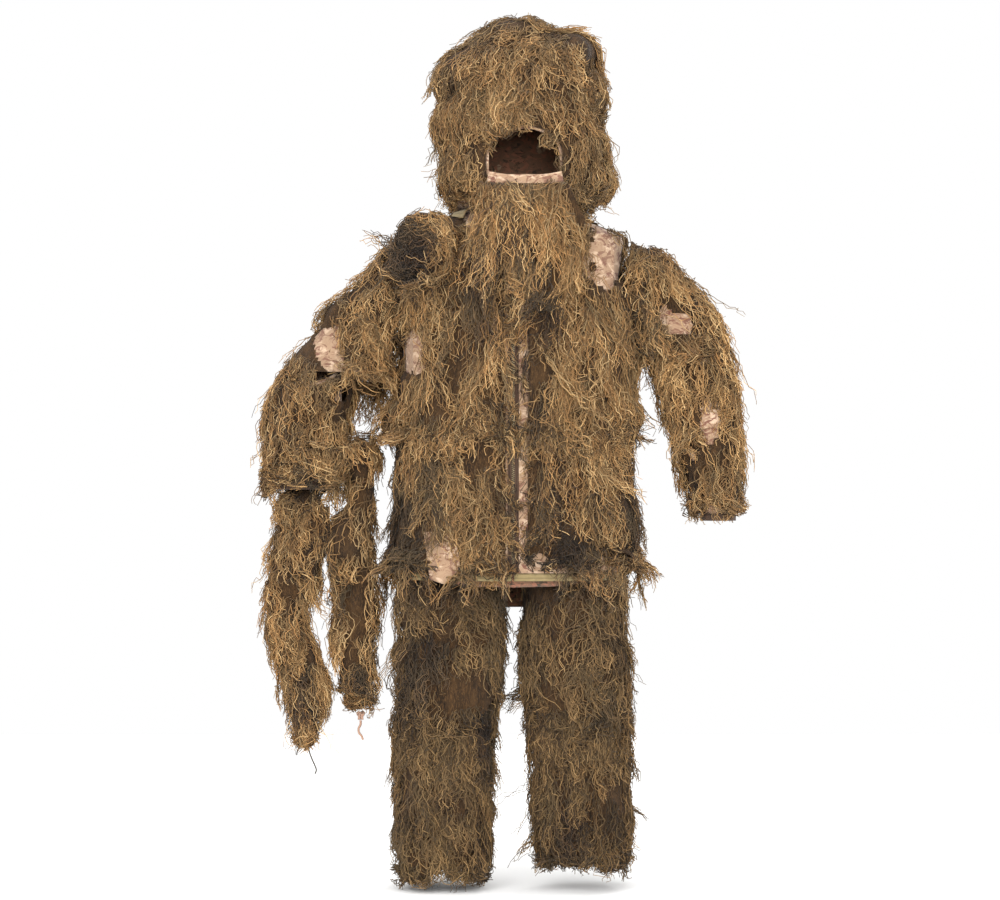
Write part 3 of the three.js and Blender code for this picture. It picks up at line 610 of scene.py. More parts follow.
def build_cord(node, points, width, look):
    route, length = smooth_route(points)
    curve = bpy.data.curves.new(f"{node}_rope", "CURVE")
    curve.dimensions = "3D"
    curve.bevel_depth = width / 2
    curve.bevel_resolution = 4
    curve.use_fill_caps = True
    spline = curve.splines.new("POLY")
    spline.points.add(len(route) - 1)
    for point, place in zip(spline.points, route):
        point.co = (*place, 1)
    curve.materials.append(MATERIALS[look])
    piece = bpy.data.objects.new(f"{node}_rope", curve)
    bpy.context.scene.collection.objects.link(piece)
    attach(piece, BODY_OF[node])
    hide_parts(node)
    return piece


def build_cords():
    build_cord("wrap_drawcord_long", DRAWCORD_LONG, DRAWCORD_WIDTH, "cord_dark")
    build_cord("wrap_drawcord_short", DRAWCORD_SHORT, DRAWCORD_WIDTH, "cord_dark")
    build_cord("wrap_tie_cord", TIE_CORD, TIE_CORD_WIDTH, "cord_pink")
    turn_knot()


def sweep_tube(shape, route, radius, sides=8, closed=False, cap=True):
    """Adds a round tube along a route to a bmesh."""
    rings = []
    lean = Vector((0.31, 0.87, 0.38))
    count = len(route)
    for i, point in enumerate(route):
        ahead = route[(i + 1) % count] if closed else route[min(i + 1, count - 1)]
        behind = route[i - 1] if closed else route[max(i - 1, 0)]
        run = (ahead - behind).normalized()
        across = (lean - run * lean.dot(run)).normalized()
        up = run.cross(across)
        size = radius(i / max(1, count - 1)) if callable(radius) else radius
        ring = []
        for step in range(sides):
            turn = 2 * math.pi * step / sides
            ring.append(shape.verts.new(point + (across * math.cos(turn) + up * math.sin(turn)) * size))
        rings.append(ring)
    pairs = list(zip(rings, rings[1:])) + ([(rings[-1], rings[0])] if closed else [])
    for low, high in pairs:
        for step in range(sides):
            after = (step + 1) % sides
            shape.faces.new((low[step], low[after], high[after], high[step]))
    if cap and not closed:
        shape.faces.new(rings[0][::-1])
        shape.faces.new(rings[-1])


def turn_knot():
    """An overhand knot in place of the tie's round knot."""
    centre = middle("wrap_tie_knot")
    shape = bmesh.new()
    route = []
    for step in range(72):
        t = 2 * math.pi * step / 72
        route.append(centre + Vector(((math.sin(t) + 2 * math.sin(2 * t)) * 0.0024,
                                      -math.sin(3 * t) * 0.0034,
                                      (math.cos(t) - 2 * math.cos(2 * t)) * 0.0026)))
    sweep_tube(shape, route, 0.0026, 10, closed=True)
    for offset in (-0.002, 0.0022):
        tail = [centre + Vector((offset * (1 + step * 0.2), -0.003, 0.004 - step * 0.0028))
                for step in range(6)]
        sweep_tube(shape, tail, 0.0024, 8)
    replace_node("wrap_tie_knot", "tie_knot", to_mesh(shape, "tie_knot"), "cord_pink")


# ---------- cloth ----------
Cloth = namedtuple("Cloth", "heart look slot hangs_from sheet relief")
CLOTHS = {
    "jacket_front_right": Cloth("torso", "camo_cloth", "camo_cloth", "collar", True, 1.0),
    "jacket_front_left": Cloth("torso", "camo_cloth", "camo_cloth", "collar", True, 1.0),
    "jacket_back": Cloth("torso", "camo_cloth", "camo_cloth", "collar", True, 1.0),
    "collar": Cloth("torso", "camo_cloth", "camo_cloth", "jacket_back", True, 0.8),
    "placket": Cloth("torso", "camo_cloth", "camo_cloth", "jacket_front_left", True, 0.35),
    # The zip tapes are drawn in the dark rib knit instead of webbing, as painted shade in the zip's slit.
    "zip_tape_right": Cloth("torso", "rib_knit", "webbing", None, False, 0.0),
    "zip_tape_left": Cloth("torso", "rib_knit", "webbing", None, False, 0.0),
    "hem_band": Cloth("torso", "webbing", "webbing", None, False, 0.25),
    "neck_strap": Cloth("torso", "webbing", "webbing", None, False, 0.1),
    "waistband": Cloth("torso", "webbing", "webbing", None, False, 0.3),
    "hood_shell": Cloth("hood", "camo_cloth", "camo_cloth", "collar", True, 1.0),
    "hood_lining": Cloth("hood", "lining_cloth", "lining", "hood_shell", True, 1.6),
    "hood_edge_binding": Cloth("hood", "camo_cloth", "camo_cloth", None, False, 0.15),
    "veil_band": Cloth("veil", "camo_cloth", "camo_cloth", "hood_shell", True, 0.6),
    "pocket_flap": Cloth("torso", "camo_cloth", "camo_cloth", "jacket_front_right", True, 0.5),
    # The seat is drawn in the darker lining cloth instead of the print, as painted shade under the jacket.
    "trouser_seat": Cloth("torso", "lining_cloth", "camo_cloth", "waistband", True, 0.8),
}
for hand in ("right", "left"):
    arm, leg = f"arm_{hand}", f"leg_{hand}"
    CLOTHS[f"upper_sleeve_{hand}"] = Cloth(arm, "camo_cloth", "camo_cloth", "jacket_back", True, 1.3)
    CLOTHS[f"forearm_{hand}"] = Cloth(arm, "camo_cloth", "camo_cloth", f"upper_sleeve_{hand}", True, 1.2)
    CLOTHS[f"cuff_{hand}"] = Cloth(f"arm_{hand}", "rib_knit", "lining", None, False, 0.3)
    # The thighs and shins are drawn in the darker lining cloth instead of the print, as painted shade where the
    # cloth shows between the locks.
    CLOTHS[f"thigh_{hand}"] = Cloth(f"leg_{hand}", "lining_cloth", "camo_cloth", "trouser_seat", True, 0.9)
    CLOTHS[f"shin_{hand}"] = Cloth(f"leg_{hand}", "lining_cloth", "camo_cloth", f"thigh_{hand}", True, 0.9)
    CLOTHS[f"ankle_hem_{hand}"] = Cloth(f"leg_{hand}", "rib_knit", "lining", None, False, 0.3)


def band_sag(x):
    """How far the veil's band sags below a straight line."""
    low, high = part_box("veil_band")
    half = (high.x - low.x) / 2
    return 0.009 * (1 - ((x - middle("veil_band").x) / half) ** 2) - 0.002


COLLAR_LENGTH = 0.025  # a panel that is shorter than this from top to bottom is the collar
NECK_ROUND = 0.52
SEAM_SHARE = 1.03  # a panel is cut a little wider than it shows
NARROWEST = 0.012


def cut_size(shape, heart):
    """Width and length of the rectangle that a hung panel was cut from, and its own flat area."""
    area = sum(face.calc_area() for face in shape.faces) / 2
    line = HEART[heart]
    run = (line[-1] - line[0]).normalized()
    along = [vert.co.dot(run) for vert in shape.verts]
    length = max(along) - min(along)
    if length < COLLAR_LENGTH:  # it lies out flat round the neck, so its width is the way round
        length = area / NECK_ROUND
    return (max(area / length * SEAM_SHARE, NARROWEST), length), area


def build_cloth(sizes):
    for node, cloth in CLOTHS.items():
        shape = node_bmesh(node)
        refine(shape, sizes.cloth_cell)
        shape.normal_update()
        height = sizes.wrinkle * cloth.relief
        if height:
            seed = len(node) * 1.7
            for vert in shape.verts:
                away = outward(vert.co, cloth.heart)
                vert.co += away * (height * fold(vert.co, seed) - 0.2 * height)
        if node == "veil_band":
            for vert in shape.verts:
                vert.co.z -= band_sag(vert.co.x)
        flat, area = cut_size(shape, cloth.heart)
        mesh = to_mesh(shape, f"{node}_cloth")
        piece = replace_node(node, f"{node}_cloth", mesh, cloth.look)


# ---------- threads ----------
# drop: how far the threads hang below the lower edge of their own layer.
Pile = namedtuple("Pile", "heart tone locks length spread curl drop bright", defaults=(0.0,))
PILES = {
    "hood_threads": Pile("hood", "tan", 2050, 0.085, 0.011, 0.6, 0.016, -0.11),
    "hood_fringe_right": Pile("hood", "tan", 2600, 0.105, 0.011, 0.3, 0.020, -0.02),
    "hood_fringe_left": Pile("hood", "tan", 2600, 0.115, 0.011, 0.3, 0.025, -0.02),
    "veil_threads": Pile("veil", "tan", 2600, 0.15, 0.009, 0.1, 0.010, 0.10),
    "shoulder_tuft": Pile("tuft", "tan", 2400, 0.075, 0.010, 0.3, 0.030),
    "chest_threads_right": Pile("torso", "tan", 1750, 0.12, 0.012, 0.3, 0.050, -0.02),
    "chest_threads_left": Pile("torso", "tan", 1750, 0.12, 0.012, 0.3, 0.050, -0.02),
    "waist_threads_right": Pile("torso", "tan", 1650, 0.105, 0.012, 0.35, 0.066, -0.06),
    "waist_threads_left": Pile("torso", "tan", 1650, 0.105, 0.012, 0.35, 0.066, -0.06),
    "back_threads_upper": Pile("torso", "tan", 1250, 0.12, 0.014, 0.3, 0.045, -0.02),
    "back_threads_lower": Pile("torso", "tan", 1150, 0.105, 0.014, 0.3, 0.085, -0.02),
    "wrap_sleeve": Pile("arm_right", "tan", 1900, 0.085, 0.012, 0.5, 0.045, 0.03),
    "wrap_tail_outer": Pile("tail_outer", "tan", 1900, 0.08, 0.009, 0.5, 0.012, 0.03),
    "wrap_tail_inner": Pile("tail_inner", "tan", 1900, 0.08, 0.009, 0.5, 0.012, 0.03),
}
for hand in ("right", "left"):
    PILES[f"upper_sleeve_threads_{hand}"] = Pile(f"arm_{hand}", "tan", 1750, 0.105, 0.012, 0.5, 0.07, 0.08)
    PILES[f"forearm_threads_{hand}"] = Pile(f"arm_{hand}", "tan", 1700, 0.09, 0.012, 0.5, 0.0, 0.08)
    PILES[f"thigh_threads_{hand}"] = Pile(f"leg_{hand}", "olive", 1500, 0.085, 0.012, 0.5, 0.05, -0.06)
    PILES[f"shin_threads_{hand}"] = Pile(f"leg_{hand}", "olive", 1500, 0.085, 0.012, 0.5, 0.012, -0.05)

Spot = namedtuple("Spot", "x z width height")
# Places on the front where the threads have worn away and the cloth shows, half sizes in metres.
BARE = [Spot(*row) for row in (
    (0.205, -0.080, 0.060, 0.095), (-0.386, -0.276, 0.046, 0.070), (-0.310, -0.370, 0.066, 0.085),
    (-0.222, -0.285, 0.044, 0.064), (0.345, -0.222, 0.044, 0.050), (0.415, -0.430, 0.042, 0.064),
    (0.372, -0.500, 0.020, 0.024), (-0.094, -0.004, 0.024, 0.050), (-0.146, -0.712, 0.036, 0.052),
    (0.016, -0.290, 0.007, 0.060), (0.065, -0.752, 0.040, 0.020),
)]
BARE_BEHIND = [Spot(*row) for row in (
    (-0.12, -0.16, 0.030, 0.060), (0.16, -0.40, 0.028, 0.050), (0.36, -0.30, 0.026, 0.045),
)]
# Places on the front with dark threads: brown bundles, and painted shade in the zip's slit, round the veil's tip
# and along the jacket's hem.
DARK_AND_SHADE = [Spot(*row) for row in (
    (-0.215, -0.085, 0.050, 0.080), (-0.238, -0.630, 0.040, 0.130), (0.250, -0.600, 0.030, 0.100),
    (0.012, -0.600, 0.020, 0.150), (0.016, -0.300, 0.018, 0.130), (-0.070, -0.180, 0.035, 0.055),
    (0.070, -0.190, 0.040, 0.060), (0.184, -0.578, 0.020, 0.030), (-0.180, -0.940, 0.060, 0.085),
    (-0.060, -1.090, 0.020, 0.100), (0.110, -1.275, 0.025, 0.090), (0.0, -0.775, 0.260, 0.030),
    (-0.430, -0.560, 0.030, 0.040), (-0.200, -0.700, 0.050, 0.060), (0.140, -0.700, 0.060, 0.040),
    (0.190, -1.020, 0.030, 0.060), (-0.470, -0.760, 0.022, 0.050), (-0.345, -0.800, 0.020, 0.045),
    (-0.440, -0.990, 0.022, 0.045), (-0.320, -0.960, 0.018, 0.040), (-0.160, -0.560, 0.022, 0.060),
    (0.060, -0.420, 0.022, 0.040),
)]

TONES = {
    "tan": [colour(180, 139, 89), colour(198, 158, 105), colour(159, 121, 75), colour(212, 177, 126),
            colour(140, 103, 61), colour(174, 129, 79)],
    "olive": [colour(134, 102, 64), colour(150, 118, 76), colour(112, 86, 54), colour(164, 132, 88),
              colour(94, 72, 46)],
    "brown": [colour(70, 54, 40), colour(90, 68, 48), colour(52, 40, 30), colour(108, 82, 56)],
}
PALETTE = [tone for name in ("tan", "olive", "brown") for tone in TONES[name]]
FIRST = {"tan": 0, "olive": 6, "brown": 11}
LOCK_POINTS = 12
THREADS_IN_LOCK = 14
THREADS_IN_PIECE = 2800
TIER = 0.046  # height of one row of locks
KNOTS = 26

Lump = namedtuple("Lump", "x z radius height")
# Places where the threads stand out, or sink in where the height is below 0.
LUMPS = [Lump(*row) for row in (
    (-0.128, 0.300, 0.050, 0.030), (-0.128, 0.205, 0.045, 0.020), (0.135, 0.350, 0.045, 0.028),
    (0.0, 0.400, 0.060, 0.014), (0.185, 0.060, 0.045, 0.014), (0.18, 0.20, 0.04, -0.01),
    (-0.225, -0.820, 0.120, 0.034), (0.225, -0.820, 0.120, 0.034), (-0.245, -0.430, 0.050, 0.024),
    (0.250, -0.420, 0.050, 0.020), (-0.250, -0.680, 0.060, 0.012), (0.250, -0.640, 0.060, 0.014),
    (0.105, -0.820, 0.060, 0.016), (-0.105, -0.820, 0.060, 0.016), (-0.345, -0.500, 0.070, 0.022),
    (-0.480, -0.470, 0.060, 0.010), (-0.440, -0.690, 0.040, 0.012), (-0.480, -0.860, 0.045, 0.012),
    (-0.345, -0.690, 0.040, 0.010), (-0.325, -0.880, 0.040, 0.010), (-0.460, -0.780, 0.040, -0.010),
    (-0.335, -0.780, 0.040, -0.008), (-0.450, -0.950, 0.040, -0.008), (0.300, -0.110, 0.060, 0.010),
    (-0.330, -0.350, 0.060, 0.016),
    (middle("sleeve_toggle").x + 0.01, middle("sleeve_toggle").z - 0.01, 0.030, 0.009),
)]
# The face opening: x of its middle, z of its bottom, half its width, and its height.
WINDOW = (middle("hood_edge_binding").x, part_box("hood_edge_binding")[0].z + 0.006, 0.073, 0.094)


def swell(point):
    """How far the lumps push a point outwards."""
    push = 0.0
    for lump in LUMPS:
        reach = ((point.x - lump.x) ** 2 + (point.z - lump.z) ** 2) / lump.radius ** 2
        push += lump.height * max(0.0, 1 - reach)
    return push


def in_window(point):
    """Whether a point hangs in front of the face opening."""
    x, bottom, half_width, height = WINDOW
    if point.y > -0.08 or not bottom - 0.004 < point.z < bottom + height:
        return False
    return abs(point.x - x) < half_width * math.sqrt(max(0.0, 1 - ((point.z - bottom) / height) ** 3))


def inside(spots, x, z):
    """How deep a place lies in any of the spots: 1 at a middle, 0 outside all."""
    deep = 0.0
    for spot in spots:
        reach = ((x - spot.x) / spot.width) ** 2 + ((z - spot.z) / spot.height) ** 2
        deep = max(deep, 1 - reach)
    return max(0.0, deep)


def bareness(point):
    """How far the threads have worn away: 0 is full, 1 is bare."""
    deep = inside(BARE if point.y < 0 else BARE_BEHIND, point.x, point.z)
    return max(0.0, deep + 0.5 * noise.noise(point * 30) + 0.3 * noise.noise(point * 75)) if deep else 0.0


def dark_and_shade_share(point):
    """Share of dark threads at a place: brown patches from noise, and on the front the listed spots of brown
    bundles and painted shade.
    """
    blotch = noise.noise(Vector((point.x * 7, point.y * 7 + 3, point.z * 5)))
    share = max(0.0, blotch - 0.2) * 2.4
    if point.y < 0.02:
        share = share * 0.5 + min(1.0, 1.6 * inside(DARK_AND_SHADE, point.x, point.z))
    return min(1.0, share)


ZIP_LINE = 0.010  # across the front, where locks lean over the zip
HEM_SHARE = 0.14  # share of the locks that is sewn along a layer's lower edge
# The backing seen through these gaps is dark with painted shade.
THIN = -0.24  # no lock grows where the noise of the place is below this, so gaps show the dark backing
TOP_SHARE = {"veil": 0.5, "tail_inner": 0.12, "tail_outer": 0.06}  # share sewn along the upper edge
WORN_DEPTH = 0.012  # how deep a bare place sinks into the backing
TAIL_POINT = 0.024  # how far the top of a tail narrows
STOP_SHARE = 0.93  # share of the locks that end where they meet a bare place or the face window
STRAY_LENGTH = 0.13  # of a loose thread
STRAY_LIFT = 0.006  # how far above the backing a loose thread starts
STRAY_SPREAD = 0.7  # how far the loose threads wander sideways
RAGGED = 0.030  # how far the lower edge of a layer goes up and down


def build_backing(sizes):
    """A lumpy mass of thread in the room of each thread layer, with holes where it has worn away; its dark
    material is painted shade between the locks.
    """
    for node, pile in PILES.items():
        source = to_mesh(node_bmesh(node), "source")
        holder = bpy.data.objects.new("source", source)
        bpy.context.scene.collection.objects.link(holder)
        remesh = holder.modifiers.new("cells", "REMESH")
        remesh.mode = "VOXEL"
        remesh.voxel_size = sizes.mat_cell
        ready = holder.evaluated_get(bpy.context.evaluated_depsgraph_get())
        mesh = bpy.data.meshes.new_from_object(ready)
        bpy.data.objects.remove(holder)
        bpy.data.meshes.remove(source)
        shape = bmesh.new()
        shape.from_mesh(mesh)
        bpy.data.meshes.remove(mesh)
        shape.normal_update()
        bare = {}
        low, high = (corner.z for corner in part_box(node))
        for vert in shape.verts:
            away = outward(vert.co, pile.heart)
            facing = vert.normal.dot(away)
            spot = Vector((vert.co.x * 24, vert.co.y * 24, vert.co.z * 15))
            lump = noise.noise(spot) + 0.5 * noise.noise(spot * 2.7) + 1.5 * noise.noise(spot * 0.45)
            worn = bareness(vert.co)
            bare[vert.index] = worn
            if facing > 0.2:
                sunk = WORN_DEPTH * min(1, worn * 2.5)
                vert.co += away * (sizes.mat_lump * (lump - 0.6) - sunk + swell(vert.co))
                if pile.heart == "tuft":
                    vert.co += away * -0.003
                if pile.heart.startswith("tail"):
                    vert.co -= away * TAIL_POINT * max(0.0, 1 - (high - vert.co.z) / 0.05) ** 2
            elif facing > -0.2:
                vert.co += away * sizes.mat_lump * 0.5 * lump
        for vert in shape.verts:
            share = max(0.0, 1 - (vert.co.z - low) / 0.05)
            if share:
                tatter = noise.noise(Vector((vert.co.x * 24, vert.co.y * 24, low)))
                vert.co.z += share * RAGGED * (1 + tatter)
        gone = [face for face in shape.faces if min(bare[vert.index] for vert in face.verts) > 0.3]
        bmesh.ops.delete(shape, geom=gone, context="FACES")
        mesh = bpy.data.meshes.new(f"{node}_backing")
        shape.to_mesh(mesh)
        shape.free()
        replace_node(node, f"{node}_backing", mesh, "thread_backing_shade")


def guide_surface():
    """One search tree over every thread layer and what lies under it."""
    verts, faces = [], []
    layers = [bpy.data.objects[f"{node}_backing"].data for node in PILES]
    for mesh in layers + [NODES[node].data for node in ("collar", "hood_shell", "trouser_seat")]:
        shape = bmesh.new()
        shape.from_mesh(mesh)
        bmesh.ops.triangulate(shape, faces=shape.faces)
        start = len(verts)
        verts.extend(vert.co.copy() for vert in shape.verts)
        shape.verts.index_update()
        faces.extend(tuple(start + vert.index for vert in face.verts) for face in shape.faces)
        shape.free()
    return BVHTree.FromPolygons(verts, faces)


def lock_roots(node, pile, guide, count_share, rng):
    """Places on the outside of a thread layer where locks are sewn, in rows."""
    shape = node_bmesh(node)
    bmesh.ops.triangulate(shape, faces=shape.faces)
    shape.normal_update()
    faces = []
    areas = []
    for face in shape.faces:
        if face.normal.dot(outward(face.calc_center_median(), pile.heart)) > 0.25:
            faces.append([vert.co.copy() for vert in face.verts])
            areas.append(face.calc_area())
    shape.free()
    tree = node_tree(node)
    lowest, highest = (corner.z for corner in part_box(node))
    areas = np.array(areas)
    count = max(8, int(areas.sum() * pile.locks * count_share))
    roots = []
    for pick in rng.choice(len(faces), size=count, p=areas / areas.sum()):
        u, v = rng.random(2)
        if u + v > 1:
            u, v = 1 - u, 1 - v
        a, b, c = faces[pick]
        place = a + (b - a) * u + (c - a) * v
        row = (math.floor(place.z / TIER) + 0.5) * TIER + rng.normal(0, 0.008)
        place.z = place.z * 0.35 + row * 0.65
        if rng.random() < HEM_SHARE * (1.8 if pile.drop >= 0.05 else 1.0):
            place.z = lowest + rng.uniform(0.006, 0.030)
        elif rng.random() < TOP_SHARE.get(pile.heart, 0):
            place.z = highest - rng.uniform(0.001, 0.010)
        near, normal, _, _ = tree.find_nearest(place)
        away = outward(near, pile.heart)
        if normal.dot(away) < 0.3:
            normal = away
        if noise.noise(near * 42 + Vector((5, 0, 0))) < THIN:
            continue
        root = near + normal * max(0.0, swell(near))
        hit, face, _, _ = guide.ray_cast(root + normal * 0.025, -normal, 0.05)
        if hit is not None and face.dot(normal) > 0.2:
            root, normal = hit, face
        roots.append((root, normal))
    return roots


def grow_lock(root, normal, length, pile, guide, rng, swirl=None, stray=0.0):
    """Walks one lock down over the suit; returns its points and the surface directions under them."""
    step = length / (LOCK_POINTS - 1)
    place = root + normal * 0.001
    lean = Vector(rng.normal(0, 0.45, 3))
    run = (normal * 0.1 + DOWN + lean * 0.5).normalized()
    points, normals = [place.copy()], [normal.copy()]
    lift = rng.uniform(0.0, 0.012)
    hug = rng.uniform(0.15, 0.6)
    drift = Vector(rng.normal(0, 0.42, 3))
    drift.z *= 0.3
    drift += Vector((rng.normal(0, 1), 0, 0)) * stray
    gap = ZIP_LINE - root.x
    if pile.heart == "torso" and root.y < 0 and abs(gap) < 0.045:
        drift.x += gap * rng.uniform(6, 36)
    for index in range(1, LOCK_POINTS):
        pull = DOWN.copy()
        sink = pull.dot(normal)
        if sink < 0:
            pull -= normal * sink
        if pull.length < 0.35:
            away = outward(place, pile.heart)
            pull += (away - normal * away.dot(normal)) * 0.6 + lean * 0.3
        if swirl is not None:
            arm = place - swirl
            pull = Vector((arm.z, 0, -arm.x)).normalized() * 0.8 + pull * 0.45
        run = (run * 0.5 + (pull + drift + Vector(rng.normal(0, 0.14, 3))) * 0.55).normalized()
        ahead = place + run * step
        near, face, _, _ = guide.find_nearest(ahead, 0.05)
        if near is not None:
            depth = (ahead - near).dot(face)
            want = 0.001 + lift * index / LOCK_POINTS
            if depth < want:
                ahead = near + face * want
                normal = face.copy()
            elif depth < 0.03:
                ahead -= face * (depth - want) * hug
                normal = face.copy()
        move = ahead - place
        if move.length > 1e-5:
            ahead = place + move.normalized() * step
        place = ahead
        points.append(place.copy())
        normals.append(normal.copy())
    return points, normals


def unit(rows):
    return rows / np.maximum(np.linalg.norm(rows, axis=-1, keepdims=True), 1e-9)


def spin_threads(paths, normals, pile, sizes, rng, count=THREADS_IN_LOCK):
    """Splits each lock into separate threads that spread at the root, wave and end raggedly."""
    locks = len(paths)
    paths, normals = np.array(paths, float), np.array(normals, float)
    t = np.linspace(0, 1, LOCK_POINTS)
    length = np.linalg.norm(np.diff(paths, axis=1), axis=2).sum(1)[:, None, None]
    share = rng.uniform(0.6, 1.12, (locks, count, 1))
    at = np.clip(t * share, 0, 1) * (LOCK_POINTS - 1)
    low = np.minimum(at.astype(int), LOCK_POINTS - 2)
    part = (at - low)[..., None]
    which = np.arange(locks)[:, None, None]
    base = paths[which, low] * (1 - part) + paths[which, low + 1] * part
    up = unit(normals[which, low])
    run = unit(np.diff(paths, axis=1))[which, low]
    base = base + run * (np.maximum(t * share - 1, 0) * length)[..., None]
    side = unit(np.cross(run, up))
    taper = 1 - rng.uniform(0.0, 0.6, (locks, 1, 1)) * t
    across = rng.normal(0, pile.spread, (locks, count, 1)) * taper
    rise = np.abs(rng.normal(0, 0.0026, (locks, count, 1))) * (0.4 + 0.6 * t)
    reach = t * share * length
    waves = np.zeros((2, locks, count, LOCK_POINTS))
    for axis in range(2):
        for size, wave_low, wave_high in ((1.0, 0.020, 0.034), (1.9, 0.05, 0.10)):
            phase = rng.uniform(0, 2 * math.pi, (locks, count, 1))
            wave = rng.uniform(wave_low, wave_high, (locks, count, 1))
            height = rng.uniform(0.5, 1.4, (locks, count, 1)) * sizes.crinkle * size
            waves[axis] += height * np.sin(2 * math.pi * reach / wave + phase) * (0.35 + 0.65 * t)
    curly = rng.random((locks, count, 1)) < pile.curl
    phase = rng.uniform(0, 2 * math.pi, (locks, count, 1))
    turn = 2 * math.pi * reach / rng.uniform(0.030, 0.048, (locks, count, 1)) + phase
    hoop = np.where(curly, rng.uniform(0.004, 0.009, (locks, count, 1)), 0.0)
    lines = (base + side * (across + waves[0] + hoop * np.cos(turn))[..., None]
             + up * (rise + waves[1] * 0.45)[..., None] + run * (hoop * np.sin(turn))[..., None])
    lines = lines + np.cumsum(rng.normal(0, 0.0009, lines.shape), axis=2)
    in_shade = rng.random(locks) < 0.24
    light = np.repeat(rng.normal(0.02, 0.11, locks) - 0.3 * in_shade + pile.bright, count)
    return lines.reshape(-1, LOCK_POINTS, 3), light


def thread_mesh(name, lines, width, colours, shades):
    """One mesh of three-sided tapering threads: colours are places in the palette, shades the light."""
    count, points = lines.shape[:2]
    run = unit(np.gradient(lines, axis=1))
    lean = np.array([0.37, -0.83, 0.42])
    across = unit(np.cross(run, lean))
    up = np.cross(run, across)
    t = np.linspace(0, 1, points)
    radius = (width / 2) * (1 - 0.3 * t ** 3)[None, :, None]
    rings = []
    for corner in range(3):
        turn = 2 * math.pi * corner / 3
        rings.append(lines + (across * math.cos(turn) + up * math.sin(turn)) * radius)
    verts = np.stack(rings, axis=2).reshape(-1, 3)
    start = (np.arange(count) * points * 3)[:, None, None]
    row = (np.arange(points - 1) * 3)[None, :, None]
    corner = np.arange(3)[None, None, :]
    after = (corner + 1) % 3
    ring, ahead = start + row, start + row + 3
    quads = np.stack([ring + corner, ring + after, ahead + after, ahead + corner], axis=-1).reshape(-1, 4)
    root = (np.arange(count) * points * 3)[:, None]
    caps = np.concatenate([root + np.array([[2, 1, 0]]), root + (points - 1) * 3 + np.array([[0, 1, 2]])])
    loops = np.concatenate([quads.ravel(), caps.ravel()]).astype(np.int32)
    starts = np.concatenate([np.arange(len(quads)) * 4, len(quads) * 4 + np.arange(len(caps)) * 3])
    starts = starts.astype(np.int32)
    mesh = bpy.data.meshes.new(name)
    mesh.vertices.add(len(verts))
    mesh.vertices.foreach_set("co", verts.astype(np.float32).ravel())
    mesh.loops.add(len(loops))
    mesh.loops.foreach_set("vertex_index", loops)
    mesh.polygons.add(len(starts))
    mesh.polygons.foreach_set("loop_start", starts)
    mesh.update(calc_edges=True)
    mesh.validate()

    shade = np.repeat(shades[:, :, None], 3, axis=2)
    palette = np.array(PALETTE)[colours][:, None, None, :]
    # Painted shade: the palette colour is scaled by each vertex's light value.
    tint_and_shade = palette * (0.15 + 1.24 * shade[..., None])
    rgba_rows = np.concatenate([np.clip(tint_and_shade, 0, 1), np.ones(tint_and_shade.shape[:-1] + (1,))], axis=-1)
    layer = mesh.color_attributes.new("thread_tint_and_shade", "FLOAT_COLOR", "POINT")
    layer.data.foreach_set("color", rgba_rows.astype(np.float32).ravel())
    u = (colours[:, None, None] + 0.5 + np.array([-0.2, 0.0, 0.2])[None, None, :]) / len(PALETTE)
    u = np.broadcast_to(u, shade.shape)
    v = 0.02 + 0.94 * np.clip(shade, 0, 1) + np.array([0.0, 0.006, 0.0])[None, None, :]
    flat_map = np.stack([u, v], axis=-1).reshape(-1, 2)
    chart = mesh.uv_layers.new(name="OFBake")
    chart.data.foreach_set("uv", flat_map[loops].astype(np.float32).ravel())
    return mesh


def tint_and_shade_threads(lines, light, tone, rng):
    """Palette places and light values of threads: dark where the suit is dark and where shade is painted, with
    painted shade at the roots and lighter tips.
    """
    count, points = lines.shape[:2]
    dark_and_shade = np.array([dark_and_shade_share(Vector(line[points // 3])) for line in lines])
    brown_for_dark_and_shade = rng.random(count) < dark_and_shade
    colours = FIRST[tone] + rng.integers(0, len(TONES[tone]), count)
    colours = np.where(brown_for_dark_and_shade, FIRST["brown"] + rng.integers(0, len(TONES["brown"]), count), colours)
    t = np.linspace(0, 1, points)[None, :]
    base = rng.uniform(0.02, 0.68, (count, 1)) + light[:, None]
    # Painted shade: each thread darkens towards its root, where the locks above would shade it, and lightens
    # towards its tip; the dark and shaded spots darken the roots further.
    shades = base * (0.42 + 0.58 * t) + 0.24 * t - 0.15 * dark_and_shade[:, None] * (1 - t)
    return colours, np.clip(shades, 0.03, 0.97)


def hang_threads(node, lines, light, tone, width, rng, label="threads"):
    order = np.argsort(-lines[:, 0, 2], kind="stable")
    lines = np.clip(lines[order], LOW_LIMIT, HIGH_LIMIT)
    colours, shades = tint_and_shade_threads(lines, light[order], tone, rng)
    for number, start in enumerate(range(0, len(lines), THREADS_IN_PIECE)):
        part = slice(start, start + THREADS_IN_PIECE)
        name = f"{node}_{label}_{number + 1}"
        mesh = thread_mesh(name, lines[part], width, colours[part], shades[part])
        new_piece(name, mesh, BODY_OF[node], "thread")


# No thread reaches further out of the CAD's box than this share of each side and this margin, in metres.
SIDES = np.array(CAD_BOX[1]) - np.array(CAD_BOX[0])
LOW_LIMIT = np.array(CAD_BOX[0]) - 0.02 * SIDES - np.array([0.008, 0.008, -0.014])
HIGH_LIMIT = np.array(CAD_BOX[1]) + 0.02 * SIDES + np.array([0.008, 0.008, 0.0])


def cut_short(length, root, lowest, rng):
    """The length of a lock that ends near the ragged lower edge of its layer."""
    edge = lowest + RAGGED * noise.noise(Vector((root.x * 24, root.y * 24, 1.3)))
    room = max(0.02, root.z - edge)
    return length if length < room else room * rng.uniform(0.75, 1.1)


